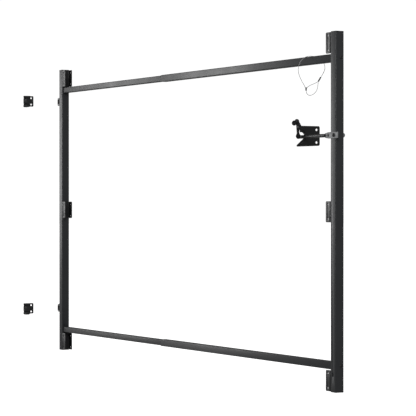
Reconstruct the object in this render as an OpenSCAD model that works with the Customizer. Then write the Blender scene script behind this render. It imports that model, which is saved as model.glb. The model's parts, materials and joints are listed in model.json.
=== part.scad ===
// Adjustable steel gate frame: two square-tube stiles joined by telescoping rails, a channel
// bracket for each wooden rail, hook-on hinges, a gravity latch on its striker, and the latch's
// pull cable. Lengths are millimetres. The design is drawn with X from the hinge stile's outer
// face, Y from the frame's front face backwards and Z from the stiles' feet; on_post() then moves
// all of it so that the origin is the centre of the lower post leaf's screw holes.

/* [Frame] */
// Height of the stiles with their caps
frame_h = 1295; // [1000:5:1600]
// Width over both stiles with the rails fully drawn out
frame_w = 2438; // [2300:1:2520]
// Side of the square stile tube
stile_s = 35; // [35:1:40]
// Wall of the stile tube
stile_wall = 2; // [1.5:0.1:2.5]
// Distance from a stile's end to the middle of the rail
rail_inset = 95; // [95:1:140]
// Side of the outer rail tube
outer_s = 28.6; // [28.6:0.1:32]
// Side of the inner rail tube
inner_s = 25; // [24:0.1:25]
// Wall of both rail tubes
rail_wall = 1.5; // [1.2:0.1:1.5]
// Length of each rail tube
rail_len = 1362; // [1300:1:1400]

/* [Brackets] */
// Height of a channel bracket
bracket_h = 76; // [60:1:76]
// How far a bracket's flanges stand out from the stile
bracket_reach = 33; // [28:1:40]
// Thickness of the bracket's sheet
bracket_t = 2.5; // [2:0.1:3]
// Radius of the screw holes in the flanges
bracket_hole_r = 3.2; // [2.5:0.1:3.5]

/* [Hinges] */
// Height of the upper hinge's middle above the feet
hinge_upper_z = 1148; // [1000:1:1150]
// Height of the lower hinge's middle above the feet
hinge_lower_z = 193; // [190:1:300]
// Outer radius of the bush that the post leaf hooks round
bush_r = 9; // [8:0.1:9]
// Radius of the hinge pin
pin_r = 4; // [3:0.1:5]
// Thickness of the post leaf's sheet
leaf_t = 3; // [2.5:0.1:3]
// How far the post leaves stand in front of the frame before it is hung
hang_gap = 168; // [80:1:200]

/* [Latch] */
// Height of the striker bar
striker_z = 922; // [700:1:950]
// Radius of the striker bar
bar_r = 6.5; // [5:0.1:6.5]
// Distance from the latch stile's outer face to the latch plate
latch_offset = 232; // [150:1:240]
// Thickness of the latch plate
latch_t = 3; // [2.5:0.1:4]
// Thickness of the pawl
pawl_t = 3.6; // [3:0.1:4]

/* [Pull cable] */
// Diameter of the wire rope
cable_d = 2; // [1.5:0.1:2]

/* [Hidden] */
$fn = 48;
eps = 0.01;

stile_mid = stile_s / 2;
cap_t = 2;
cap_grip = 22;
cap_gap = 0.1;
tube_corner = 3;
stile_tube_len = frame_h - 2 * cap_t;
latch_x = frame_w - stile_s;
rail_top_z = frame_h - rail_inset;
rail_bottom_z = rail_inset;
inner_start = stile_s;
outer_start = latch_x - rail_len;

foot_slot_x = 16.5;
foot_slot_z = 64;
foot_slot_r = 3.5;
foot_slot_step = 9;

plug_len = 20;
bolt_y = 23.5;
bolt_r = 3;
bolt_head_r = 5.2;
bolt_head_h = 3.2;
bolt_head_ball = 7;
bolt_len = stile_s + plug_len - 4;
lock_r = 2.5;
lock_head_r = 4.5;
lock_head_h = 3;
lock_inset = 24;

bracket_end = 2.5;
bracket_zs = [frame_h - bracket_end - bracket_h / 2, frame_h / 2, bracket_end + bracket_h / 2];
bracket_hole_step = 52;
bracket_corner = 5;

pin_x = -15;
pin_y = 8;
arm_r = 8.7;
arm_t = 6;
bush_half = 10.4;
arm_gap = 0.3;
arm_top = bush_half + arm_gap + arm_t;
pin_head_r = 6;
pin_head_h = 2;
pin_rim_r = 4.5;
hook_clear = 0.06;
hook_in = bush_r + hook_clear;
hook_out = hook_in + leaf_t;
hook_back = 16;
leaf_half_h = 24.25;
leaf_drop = 3.5;
leaf_back = 41.5;
leaf_hole_y = 30;
leaf_hole_step = 29;
leaf_hole_r = 4;
slot_low = bush_half;
slot_high = arm_top + 0.4;

strap_t = 3;
strap_h = 23;
strap_x0 = latch_x - 33;
strap_x1 = frame_w + 19;
strap_bolt_x = frame_w - 9;
strap_taper = 24;
strap_tip_h = 17;
strap_bolt_r = 4;
bolt_dome_r = 7;
bolt_dome_h = 3.6;
bolt_dome_ball = 9;
bolt_tail = 8;
nut_r = 7.5;
nut_h = 6.5;
rivet_x = frame_w - 47;
rivet_r = 3;
rivet_head_r = 5;
rivet_rim_r = 3.6;
rivet_front_h = 2;
rivet_back_h = 1.6;
flat_len = 29;
flat_lap = 5;
flat_h = 12;
flat_t = 3;
bar_y = -strap_t / 2;
plate_face_x = frame_w - latch_offset;
bar_past_plate = 22;
bar_tip_x = plate_face_x - bar_past_plate;

pivot_at = [-22, 56.5];
knuckle_at = [-17.4, 2];
thumb_at = [-35, 50];
stop_at = [-11.2, 33];
stop_r = 3;
pivot_r = 4;
pivot_disc_r = 8.4;
knuckle_r = 10;
thumb_r = 9.5;
hang_arm_r = 5.4;
thumb_arm_r = 6.5;
pivot_head_r = 6;
pivot_head_h = 2.2;
pivot_tail_h = 2;
pawl_gap = 0.4;
latch_hole_y = 62.5;
latch_hole_zs = [26.8, -20];
latch_hole_r = 4.5;

// Route of the pull cable: from its first end in the big ferrule round the eye, back through the
// big ferrule, over the top rail in a loop, and down into the small ferrule.
cable_x = 2240;
cable_route = [
    [2242.2, 54, 1136.1], [2242.2, 49.5, 1130.1], [2242, 43, 1123.6], [2241.6, 32, 1117.6],
    [2241.2, 18, 1112.1], [2241, 6, 1106.6], [2241, -1, 1100.6], [2241, -4, 1093.6],
    [2241, -4.5, 1086.1], [2241, -1, 1078.6], [2241, 6, 1073.9], [2241, 14, 1073.3],
    [2241, 24, 1076.6], [2241, 33, 1083.1], [2241, 40, 1092.1], [2240.6, 44, 1103.1],
    [2240.2, 46, 1114.1], [2240, 48.5, 1124.6], [2240, 52, 1131.1], [2240, 56, 1137.6],
    [2240, 62, 1146.1], [2240, 70, 1158.6], [2240, 75.5, 1172.1], [2240, 74.5, 1186.1],
    [2240, 66, 1200.1], [2240, 52, 1210.1], [2240, 35, 1215.7], [2240, 17.5, 1217],
    [2240, 0, 1215.1], [2240, -16, 1207.6], [2240, -29, 1194.1], [2240, -36.5, 1177.1],
    [2240, -37.5, 1159.1], [2240, -32, 1141.1], [2240, -22.5, 1124.1], [2239.6, -13, 1110.1],
    [2239, -7, 1100.1], [2238.8, -5.4, 1092.1]
];
cable_sides = 8;
ferrule_r = 2.6;

origin = [pin_x - hook_out, pin_y - hang_gap + leaf_hole_y, hinge_lower_z];

// ---- shared helpers ----

module on_post() { translate(-origin) children(); }

// A square with round corners, centred
module round_square(side, r) {
    square([side, side - 2 * r], center = true);
    square([side - 2 * r, side], center = true);
    for (x = [-1, 1], y = [-1, 1])
        translate([x, y] * (side / 2 - r)) circle(r);
}

// A rectangle from a low corner to a high corner with round corners
module round_box(low, high, r) {
    size = high - low;
    translate(low + [r, 0]) square([size[0] - 2 * r, size[1]]);
    translate(low + [0, r]) square([size[0], size[1] - 2 * r]);
    for (x = [low[0] + r, high[0] - r], y = [low[1] + r, high[1] - r])
        translate([x, y]) circle(r);
}

module square_ring(side, wall) {
    difference() {
        round_square(side, tube_corner);
        round_square(side - 2 * wall, tube_corner - wall + 0.2);
    }
}

// Turns an outline in (Y, Z) into a sheet that lies from x0 to x1
module along_x(x0, x1) {
    translate([x0, 0, 0]) rotate([90, 0, 90]) linear_extrude(x1 - x0) children();
}

module rod_x(x0, x1, r) { translate([x0, 0, 0]) rotate([0, 90, 0]) cylinder(h = x1 - x0, r = r); }

module rod_y(y0, y1, r) { translate([0, y1, 0]) rotate([90, 0, 0]) cylinder(h = y1 - y0, r = r); }

// ---- stiles and caps ----

// A stile tube with the holes for its rail bolts
module stile_tube(x0) {
    difference() {
        translate([x0 + stile_mid, stile_mid, cap_t])
            linear_extrude(stile_tube_len) square_ring(stile_s, stile_wall);
        for (z = [rail_top_z, rail_bottom_z])
            translate([0, bolt_y, z]) rod_x(x0 - 1, x0 + stile_s + 1, bolt_r);
    }
}

module hinge_stile() { color("#26282a") on_post() stile_tube(0); }

module latch_stile() {
    color("#26282a") on_post() difference() {
        stile_tube(latch_x);
        translate([strap_bolt_x, 0, striker_z]) rod_y(-1, stile_s + 1, strap_bolt_r);
        translate([latch_x + foot_slot_x, 0, foot_slot_z])
            for (end = [-1, 1])
                translate([0, 0, end * foot_slot_step / 2]) rod_y(-1, stile_wall + 1, foot_slot_r);
        translate([latch_x + foot_slot_x - foot_slot_r, -1, foot_slot_z - foot_slot_step / 2])
            cube([2 * foot_slot_r, stile_wall + 2, foot_slot_step]);
    }
}

// A plastic cap: a cover over the tube's end and a grip inside it
module stile_cap(x0, end) {
    translate([x0 + stile_mid, stile_mid, end ? frame_h - cap_t : cap_t]) mirror([0, 0, end ? 0 : 1]) {
        linear_extrude(cap_t) round_square(stile_s, tube_corner);
        translate([0, 0, -cap_grip]) linear_extrude(cap_grip + eps)
            round_square(stile_s - 2 * stile_wall - 2 * cap_gap, 1);
    }
}

module hinge_cap_top() { color("#1b1b1c") on_post() stile_cap(0, true); }
module hinge_cap_bottom() { color("#1b1b1c") on_post() stile_cap(0, false); }
module latch_cap_top() { color("#1b1b1c") on_post() stile_cap(latch_x, true); }
module latch_cap_bottom() { color("#1b1b1c") on_post() stile_cap(latch_x, false); }

// ---- telescoping rails ----

module rail_tube(x0, side, z) {
    translate([0, stile_mid, z]) along_x(x0, x0 + rail_len) square_ring(side, rail_wall);
}

module outer_tube(z) {
    difference() {
        rail_tube(outer_start, outer_s, z);
        translate([outer_start + lock_inset, 0, z])
            rod_y(stile_mid + inner_s / 2, stile_mid + outer_s, lock_r);
    }
}

module inner_rail_top() { color("#303234") on_post() rail_tube(inner_start, inner_s, rail_top_z); }
module inner_rail_bottom() { color("#303234") on_post() rail_tube(inner_start, inner_s, rail_bottom_z); }
module outer_rail_top() { color("#2a2c2e") on_post() outer_tube(rail_top_z); }
module outer_rail_bottom() { color("#2a2c2e") on_post() outer_tube(rail_bottom_z); }

// Threaded plugs in the rails' ends, which the rail bolts pull against the stile
module rail_plugs(x0, side) {
    for (z = [rail_top_z, rail_bottom_z])
        translate([0, 0, z]) difference() {
            translate([0, stile_mid, 0])
                along_x(x0, x0 + plug_len) round_square(side - 2 * rail_wall - 0.1, 1.8);
            translate([0, bolt_y, 0]) rod_x(x0 - 1, x0 + plug_len + 1, bolt_r);
        }
}

module rail_plugs_hinge() { color("#8c8c8c") on_post() rail_plugs(inner_start, inner_s); }
module rail_plugs_latch() { color("#8c8c8c") on_post() rail_plugs(latch_x - plug_len, outer_s); }

// Button-head bolts from a stile's outer face into the rail plugs; dir is 1 where they run to +X
module rail_bolts(face_x, dir) {
    for (z = [rail_top_z, rail_bottom_z])
        translate([face_x, bolt_y, z]) mirror([dir < 0 ? 1 : 0, 0, 0]) {
            rod_x(-eps, bolt_len, bolt_r);
            rotate([0, -90, 0]) intersection() {
                cylinder(h = bolt_head_h, r = bolt_head_r);
                translate([0, 0, bolt_head_h - bolt_head_ball]) sphere(bolt_head_ball);
            }
        }
}

module rail_bolts_hinge() { color("#1b1b1c") on_post() rail_bolts(0, 1); }
module rail_bolts_latch() { color("#1b1b1c") on_post() rail_bolts(frame_w, -1); }

// One screw in the back of each outer rail, which grips the inner rail at the chosen width
module width_lock_screws() {
    back = stile_mid + outer_s / 2;
    color("#1b1b1c") on_post() for (z = [rail_top_z, rail_bottom_z])
        translate([outer_start + lock_inset, 0, z]) {
            rod_y(back - rail_wall, back + eps, lock_r);
            rod_y(back, back + lock_head_h, lock_head_r);
        }
}

// ---- brackets for the wooden rails ----

// Channel outline in (X, Y), its web at X 0 and its mouth towards +X
module channel_outline() {
    bend = bracket_t + 1.5;
    difference() {
        union() {
            round_box([0, 0], [2 * bend + 2, stile_s], bend);
            translate([bend, 0]) square([bracket_reach - bend, stile_s]);
        }
        round_box([bracket_t, bracket_t], [bracket_reach, stile_s - bracket_t], 1.5);
        translate([bracket_reach - 4, bracket_t]) square([6, stile_s - 2 * bracket_t]);
    }
}

module channel_bracket(z) {
    difference() {
        intersection() {
            translate([0, 0, z - bracket_h / 2]) linear_extrude(bracket_h) channel_outline();
            translate([0, stile_s + 1, z]) rotate([90, 0, 0]) linear_extrude(stile_s + 2)
                round_box([-bracket_reach, -bracket_h / 2], [bracket_reach, bracket_h / 2], bracket_corner);
        }
        for (end = [-1, 1])
            translate([bracket_reach - 15, 0, z + end * bracket_hole_step / 2])
                rod_y(-1, stile_s + 1, bracket_hole_r);
    }
}

module hinge_bracket(i) {
    color("#1d1e1f") on_post() translate([stile_s, 0, 0])
        channel_bracket(bracket_zs[i]);
}

module latch_bracket(i) {
    color("#1d1e1f") on_post() translate([latch_x, 0, 0]) mirror([1, 0, 0])
        channel_bracket(bracket_zs[i]);
}

module hinge_bracket_top() { hinge_bracket(0); }
module hinge_bracket_middle() { hinge_bracket(1); }
module hinge_bracket_bottom() { hinge_bracket(2); }
module latch_bracket_top() { latch_bracket(0); }
module latch_bracket_middle() { latch_bracket(1); }
module latch_bracket_bottom() { latch_bracket(2); }

// ---- hinges ----

module at_pin(z, forward = 0) { translate([pin_x, pin_y - forward, z]) children(); }

// Two flat arms welded to the stile, with a bore for the pin
module hinge_ear(z) {
    color("#3a3c3e") on_post() at_pin(z) for (side = [-1, 1])
        translate([0, 0, side * (arm_top - arm_t / 2)]) difference() {
            translate([0, 0, -arm_t / 2]) linear_extrude(arm_t) {
                circle(arm_r);
                translate([0, -arm_r]) square([-pin_x, 2 * arm_r]);
            }
            translate([0, 0, -arm_t]) cylinder(h = 2 * arm_t, r = pin_r + 0.05);
        }
}

// The bush that turns between the arms
module hinge_bush(z) {
    color("#151515") on_post() at_pin(z) difference() {
        translate([0, 0, -bush_half]) cylinder(h = 2 * bush_half, r = bush_r);
        translate([0, 0, -bush_half - 1]) cylinder(h = 2 * bush_half + 2, r = pin_r);
    }
}

module hinge_pin(z) {
    head_low = arm_top + 0.3;
    color("#5a5c5e") on_post() at_pin(z) {
        translate([0, 0, -head_low]) cylinder(h = 2 * head_low, r = pin_r);
        for (side = [0, 1])
            mirror([0, 0, side]) translate([0, 0, head_low - eps])
                cylinder(h = pin_head_h, r1 = pin_head_r, r2 = pin_rim_r);
    }
}

// The post leaf: a plate whose front edge is bent round into a hook that takes the bush from
// behind. Two slots let the frame's arms turn, and their edges keep the frame from lifting.
module post_leaf(z) {
    color("#26282a") on_post() at_pin(z, hang_gap) difference() {
        intersection() {
            translate([0, 0, -leaf_half_h - leaf_drop])
                linear_extrude(2 * leaf_half_h + leaf_drop) hook_outline();
            along_x(-hook_out - 1, hook_out + 1) leaf_outline();
        }
        for (side = [0, 1])
            mirror([0, 0, side]) translate([-hook_in, -hook_out - 1, slot_low])
                cube([hook_in + hook_out + 1, hook_out + hook_back + 2, slot_high - slot_low]);
        for (side = [-1, 1])
            translate([0, leaf_hole_y, side * leaf_hole_step / 2])
                rod_x(-hook_out - 1, -hook_in + 1, leaf_hole_r);
    }
}

// The leaf from above: plate, half ring and the hook's short leg
module hook_outline() {
    intersection() {
        difference() {
            circle(hook_out);
            circle(hook_in);
        }
        translate([-hook_out - 1, -hook_out - 1]) square([2 * hook_out + 2, hook_out + 1]);
    }
    translate([-hook_out, -eps]) square([leaf_t, leaf_back]);
    translate([hook_in, -eps]) square([leaf_t, hook_back]);
}

// The leaf from the side, in (Y, Z): the hook reaches a little lower than the plate
module leaf_outline() {
    round_box([-hook_out, -leaf_half_h - leaf_drop], [hook_back, leaf_half_h - 4], 7);
    round_box([-hook_out, -10], [hook_back + 1, leaf_half_h], 2);
    round_box([0, -leaf_half_h], [leaf_back, leaf_half_h], 4);
}

module post_leaf_upper() { post_leaf(hinge_upper_z); }
module post_leaf_lower() { post_leaf(hinge_lower_z); }
module hinge_bush_upper() { hinge_bush(hinge_upper_z); }
module hinge_bush_lower() { hinge_bush(hinge_lower_z); }
module hinge_pin_upper() { hinge_pin(hinge_upper_z); }
module hinge_pin_lower() { hinge_pin(hinge_lower_z); }
module hinge_ear_upper() { hinge_ear(hinge_upper_z); }
module hinge_ear_lower() { hinge_ear(hinge_lower_z); }

// ---- striker ----

// Zinc strap on the latch stile's front face, narrower towards the bar
module striker_strap() {
    color("#a9abad") on_post() translate([0, 0, striker_z]) difference() {
        rotate([90, 0, 0]) linear_extrude(strap_t) {
            round_box([strap_x0 + strap_taper, -strap_h / 2], [strap_x1, strap_h / 2], 2);
            polygon([
                [strap_x0, -strap_tip_h / 2], [strap_x0 + strap_taper + 3, -strap_h / 2],
                [strap_x0 + strap_taper + 3, strap_h / 2], [strap_x0, strap_tip_h / 2]
            ]);
        }
        translate([strap_bolt_x, 0, 0]) rod_y(-strap_t - 1, 1, strap_bolt_r);
        translate([rivet_x, 0, 0]) rod_y(-strap_t - 1, 1, rivet_r);
    }
}

// The bar, with a flat end behind the strap that the rivet goes through
module striker_bar() {
    color("#151515") on_post() translate([0, 0, striker_z]) {
        translate([0, bar_y, 0]) {
            rod_x(bar_tip_x, strap_x0, bar_r);
            translate([bar_tip_x, 0, 0]) sphere(bar_r);
        }
        difference() {
            translate([strap_x0 - flat_lap, 0, -flat_h / 2]) cube([flat_len + flat_lap, flat_t, flat_h]);
            translate([rivet_x, 0, 0]) rod_y(-1, flat_t + 1, rivet_r);
        }
    }
}

module striker_rivet() {
    color("#151515") on_post() translate([rivet_x, 0, striker_z]) {
        rod_y(-strap_t - eps, flat_t + eps, rivet_r);
        translate([0, -strap_t, 0]) rotate([90, 0, 0])
            cylinder(h = rivet_front_h, r1 = rivet_head_r, r2 = rivet_rim_r);
        translate([0, flat_t, 0]) rotate([-90, 0, 0])
            cylinder(h = rivet_back_h, r1 = rivet_head_r, r2 = rivet_rim_r);
    }
}

module striker_bolt() {
    color("#1b1b1c") on_post() translate([strap_bolt_x, 0, striker_z]) {
        rod_y(-strap_t - eps, stile_s + bolt_tail, strap_bolt_r);
        translate([0, -strap_t, 0]) rotate([90, 0, 0]) intersection() {
            cylinder(h = bolt_dome_h, r = bolt_dome_r);
            translate([0, 0, bolt_dome_h - bolt_dome_ball]) sphere(bolt_dome_ball);
        }
    }
}

module striker_nut() {
    color("#8c8c8c") on_post() translate([strap_bolt_x, stile_s, striker_z]) rotate([-90, 0, 0])
        difference() {
            cylinder(h = nut_h, r = nut_r, $fn = 6);
            translate([0, 0, -1]) cylinder(h = nut_h + 2, r = strap_bolt_r);
        }
}

// ---- gravity latch: outlines are in (Y, Z) round the striker bar ----

module at_latch() { color("#101010") on_post() translate([plate_face_x, bar_y, striker_z]) children(); }

// A straight arm with round ends between two points
module arm(a, b, r) {
    side = [-(b - a)[1], (b - a)[0]] * r / norm(b - a);
    polygon([a - side, b - side, b + side, a + side]);
    translate(a) circle(r);
    translate(b) circle(r);
}

module latch_outline() {
    difference() {
        union() {
            round_box([20, -32.2], [76.3, 40.7], 6);
            polygon([
                [-20, -29], [-15, -35], [40, -33], [40, 40.7],
                [-1, 40.7], [-9, 34], [-8, 18], [8, -5]
            ]);
            translate([-18.4, -32.4]) circle(3.8);
            arm([-8, 34], [-22, 57], 8.2);
        }
        translate([-3.5, 4]) circle(13);
        translate([latch_hole_y, latch_hole_zs[0]]) circle(latch_hole_r);
        translate([latch_hole_y, latch_hole_zs[1]]) circle(latch_hole_r);
        translate(pivot_at) circle(pivot_r);
        translate(stop_at) circle(stop_r);
    }
}

module latch_plate() { at_latch() along_x(-latch_t, 0) latch_outline(); }

module latch_pawl() {
    at_latch() along_x(pawl_gap, pawl_gap + pawl_t) difference() {
        union() {
            arm(pivot_at, knuckle_at, hang_arm_r);
            arm(pivot_at, thumb_at, thumb_arm_r);
            translate(pivot_at) circle(pivot_disc_r);
            translate(knuckle_at) circle(knuckle_r);
            translate(thumb_at) circle(thumb_r);
        }
        translate(pivot_at) circle(pivot_r + 0.05);
    }
}

// Rivet through the plate's arm and the pawl
module pawl_pivot() {
    outer_face = pawl_gap + pawl_t + 0.3;
    at_latch() translate([0, pivot_at[0], pivot_at[1]]) {
        rod_x(-latch_t - eps, outer_face + eps, pivot_r);
        rod_x(-latch_t - pivot_tail_h, -latch_t, pivot_head_r);
        rod_x(outer_face, outer_face + pivot_head_h, pivot_head_r);
    }
}

// Peg that the pawl hangs against
module pawl_stop() {
    at_latch() translate([0, stop_at[0], stop_at[1]]) rod_x(-latch_t, pawl_gap + pawl_t, stop_r);
}

// ---- pull cable ----

// A smooth curve through four neighbouring route points
function spline(p, q, r, s, t) =
    0.5 * (2 * q + (r - p) * t + (2 * p - 5 * q + 4 * r - s) * t * t + (3 * q - p - 3 * r + s) * t * t * t);
function route_at(pts, i) = pts[max(0, min(len(pts) - 1, i))];
function smooth(pts) = [
    for (i = [0 : len(pts) - 2], t = [0, 0.5])
        spline(route_at(pts, i - 1), pts[i], pts[i + 1], route_at(pts, i + 2), t),
    pts[len(pts) - 1]
];
function unit(v) = v / norm(v);
function heading(line, i) = unit(line[min(len(line) - 1, i + 1)] - line[max(0, i - 1)]);

// The route stays close to a plane square to X, so X is the steady side of each ring
module swept_tube(line, r, sides) {
    n = len(line);
    rings = [for (i = [0 : n - 1])
        let (ahead = heading(line, i), across = unit(cross(ahead, [1, 0, 0])), up = cross(across, ahead))
        for (k = [0 : sides - 1])
            line[i] + r * (cos(360 * k / sides) * across + sin(360 * k / sides) * up)];
    walls = [for (i = [0 : n - 2], k = [0 : sides - 1])
        let (a = i * sides + k, b = i * sides + (k + 1) % sides)
        each [[a, b, b + sides], [a, b + sides, a + sides]]];
    ends = [[for (k = [sides - 1 : -1 : 0]) k], [for (k = [0 : sides - 1]) (n - 1) * sides + k]];
    polyhedron(points = rings, faces = concat(walls, ends));
}

module pull_cable() { color("#9a9c9e") on_post() swept_tube(smooth(cable_route), cable_d / 2, cable_sides); }

// A pressed oval sleeve round two strands that lie side by side in X
module ferrule(from, to, x0, x1) {
    mid_x = (x0 + x1) / 2;
    run = to - from;
    translate([mid_x, from[0], from[1]]) rotate([atan2(-run[0], run[1]), 0, 0])
        linear_extrude(norm(run)) {
            square([x1 - x0, 2 * ferrule_r], center = true);
            for (side = [-1, 1]) translate([side * (x1 - x0) / 2, 0]) circle(ferrule_r);
        }
}

module cable_ferrule_large() {
    color("#3c3c3c") on_post() ferrule([47.5, 1125.1], [57.5, 1140.1], cable_x, cable_x + 2.2);
}

module cable_ferrule_small() {
    color("#3c3c3c") on_post() ferrule([-4.7, 1089.1], [-4.4, 1101.1], cable_x - 1.2, cable_x + 1);
}

post_leaf_upper();
post_leaf_lower();
hinge_bush_upper();
hinge_bush_lower();
hinge_pin_upper();
hinge_pin_lower();
hinge_ear_upper();
hinge_ear_lower();
hinge_stile();
latch_stile();
hinge_cap_top();
hinge_cap_bottom();
latch_cap_top();
latch_cap_bottom();
inner_rail_top();
inner_rail_bottom();
outer_rail_top();
outer_rail_bottom();
rail_plugs_hinge();
rail_plugs_latch();
rail_bolts_hinge();
rail_bolts_latch();
width_lock_screws();
hinge_bracket_top();
hinge_bracket_middle();
hinge_bracket_bottom();
latch_bracket_top();
latch_bracket_middle();
latch_bracket_bottom();
striker_strap();
striker_bar();
striker_rivet();
striker_bolt();
striker_nut();
latch_plate();
latch_pawl();
pawl_pivot();
pawl_stop();
pull_cable();
cable_ferrule_large();
cable_ferrule_small();
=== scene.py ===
"""Looks of an adjustable steel gate frame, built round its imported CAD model."""

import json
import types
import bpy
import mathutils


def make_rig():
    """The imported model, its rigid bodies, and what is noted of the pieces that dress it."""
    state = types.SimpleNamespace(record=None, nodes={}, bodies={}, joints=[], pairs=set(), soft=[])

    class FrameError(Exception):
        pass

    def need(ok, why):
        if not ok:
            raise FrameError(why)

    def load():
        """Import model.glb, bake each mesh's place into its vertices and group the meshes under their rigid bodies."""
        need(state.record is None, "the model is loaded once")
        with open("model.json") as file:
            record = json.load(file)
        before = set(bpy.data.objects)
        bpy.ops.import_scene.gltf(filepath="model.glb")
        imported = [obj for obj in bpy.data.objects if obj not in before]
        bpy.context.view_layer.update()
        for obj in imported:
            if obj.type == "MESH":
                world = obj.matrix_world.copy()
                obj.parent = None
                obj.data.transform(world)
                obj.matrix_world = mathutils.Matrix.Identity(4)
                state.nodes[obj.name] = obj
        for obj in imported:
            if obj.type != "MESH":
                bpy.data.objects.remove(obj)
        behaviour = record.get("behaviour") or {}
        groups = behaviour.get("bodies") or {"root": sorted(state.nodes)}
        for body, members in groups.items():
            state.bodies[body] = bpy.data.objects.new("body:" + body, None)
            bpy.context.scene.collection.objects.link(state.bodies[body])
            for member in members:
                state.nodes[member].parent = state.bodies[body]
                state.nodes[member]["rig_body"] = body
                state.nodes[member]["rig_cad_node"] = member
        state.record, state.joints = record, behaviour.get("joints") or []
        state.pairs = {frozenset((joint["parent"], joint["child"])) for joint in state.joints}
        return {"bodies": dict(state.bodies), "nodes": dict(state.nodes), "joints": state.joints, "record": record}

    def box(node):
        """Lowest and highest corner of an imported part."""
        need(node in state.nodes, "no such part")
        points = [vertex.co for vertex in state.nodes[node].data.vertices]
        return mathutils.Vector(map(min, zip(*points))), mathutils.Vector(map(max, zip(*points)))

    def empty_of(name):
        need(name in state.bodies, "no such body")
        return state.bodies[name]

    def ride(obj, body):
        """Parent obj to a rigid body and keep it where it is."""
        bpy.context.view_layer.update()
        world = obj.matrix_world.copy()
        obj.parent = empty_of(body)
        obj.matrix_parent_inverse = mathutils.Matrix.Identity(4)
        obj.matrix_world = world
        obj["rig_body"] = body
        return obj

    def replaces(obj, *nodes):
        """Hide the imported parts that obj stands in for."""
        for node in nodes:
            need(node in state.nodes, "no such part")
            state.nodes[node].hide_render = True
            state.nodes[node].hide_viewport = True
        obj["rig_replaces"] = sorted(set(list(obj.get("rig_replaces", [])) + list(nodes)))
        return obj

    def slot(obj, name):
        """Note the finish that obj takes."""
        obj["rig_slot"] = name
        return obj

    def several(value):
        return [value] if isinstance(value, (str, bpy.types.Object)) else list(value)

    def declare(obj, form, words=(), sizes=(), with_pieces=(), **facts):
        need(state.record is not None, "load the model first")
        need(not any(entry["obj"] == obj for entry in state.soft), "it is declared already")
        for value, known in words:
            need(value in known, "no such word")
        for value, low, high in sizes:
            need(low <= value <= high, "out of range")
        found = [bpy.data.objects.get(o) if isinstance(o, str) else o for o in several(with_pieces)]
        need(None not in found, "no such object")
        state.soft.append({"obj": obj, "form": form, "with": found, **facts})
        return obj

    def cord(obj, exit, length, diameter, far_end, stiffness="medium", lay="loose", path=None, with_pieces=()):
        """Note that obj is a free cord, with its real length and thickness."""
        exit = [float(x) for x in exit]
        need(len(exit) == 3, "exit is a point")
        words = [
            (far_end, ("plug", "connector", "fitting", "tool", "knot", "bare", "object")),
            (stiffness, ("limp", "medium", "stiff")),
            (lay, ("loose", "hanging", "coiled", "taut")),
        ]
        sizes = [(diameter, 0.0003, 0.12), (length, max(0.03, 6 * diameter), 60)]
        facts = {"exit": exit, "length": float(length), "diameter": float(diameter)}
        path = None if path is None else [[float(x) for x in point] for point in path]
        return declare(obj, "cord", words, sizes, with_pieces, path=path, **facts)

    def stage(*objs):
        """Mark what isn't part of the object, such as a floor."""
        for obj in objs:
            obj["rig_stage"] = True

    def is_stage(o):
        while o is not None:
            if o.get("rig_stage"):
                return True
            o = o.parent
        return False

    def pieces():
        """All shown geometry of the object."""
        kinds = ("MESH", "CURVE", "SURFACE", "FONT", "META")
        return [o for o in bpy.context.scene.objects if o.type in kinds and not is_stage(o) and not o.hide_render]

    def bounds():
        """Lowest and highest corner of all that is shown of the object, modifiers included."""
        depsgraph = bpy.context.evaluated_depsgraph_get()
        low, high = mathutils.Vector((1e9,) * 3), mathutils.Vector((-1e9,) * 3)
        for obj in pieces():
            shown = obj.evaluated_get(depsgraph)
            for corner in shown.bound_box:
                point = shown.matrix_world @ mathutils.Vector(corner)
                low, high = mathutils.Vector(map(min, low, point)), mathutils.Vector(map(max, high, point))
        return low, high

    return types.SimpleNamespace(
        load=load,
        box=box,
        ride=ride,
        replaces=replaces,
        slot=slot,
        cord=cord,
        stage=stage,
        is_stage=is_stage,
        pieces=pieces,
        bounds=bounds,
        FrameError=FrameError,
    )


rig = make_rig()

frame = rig.load()

import json
import logging
import math
from collections.abc import Callable, Iterator, Sequence
from contextlib import contextmanager
from dataclasses import dataclass, field
from enum import Enum

import bmesh
import bpy
from mathutils import Vector

SIZE_FILE = "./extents.json"
MM = 0.001
ALIGNED = 0.9
"""The least cosine between an edge or a normal and an axis for the two to count as aligned."""
LOG = logging.getLogger("gate")

Flat = tuple[float, float]
Piece = bpy.types.Object


def note_size(moment: str) -> None:
    """Args:
        moment: the name that these bounds are kept under.
    """
    sizes = {}
    if moment != "frame":
        with open(SIZE_FILE, encoding="utf-8") as known:
            sizes = json.load(known)
    sizes[moment] = [[float(value) for value in corner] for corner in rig.bounds()]
    with open(SIZE_FILE, "w", encoding="utf-8") as out:
        json.dump(sizes, out)


class Plane(Enum):
    """The plane that a flat outline lies in, named by its two axes."""

    XY = "xy"
    XZ = "xz"
    YZ = "yz"

    def point(self, flat: Flat, offset: float) -> Vector:
        """Gives a flat point its place in space.

        Args:
            flat: the point's two coordinates, in metres.
            offset: the plane's place along its normal, in metres.

        Returns:
            The point in the row frame.
        """
        first, second = flat
        places = {
            Plane.XY: (first, second, offset),
            Plane.XZ: (first, offset, second),
            Plane.YZ: (offset, first, second),
        }
        return Vector(places[self])

    @property
    def normal(self) -> Vector:
        """The direction square to the plane."""
        normals = {
            Plane.XY: (0, 0, 1),
            Plane.XZ: (0, 1, 0),
            Plane.YZ: (1, 0, 0),
        }
        return Vector(normals[self])


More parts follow.
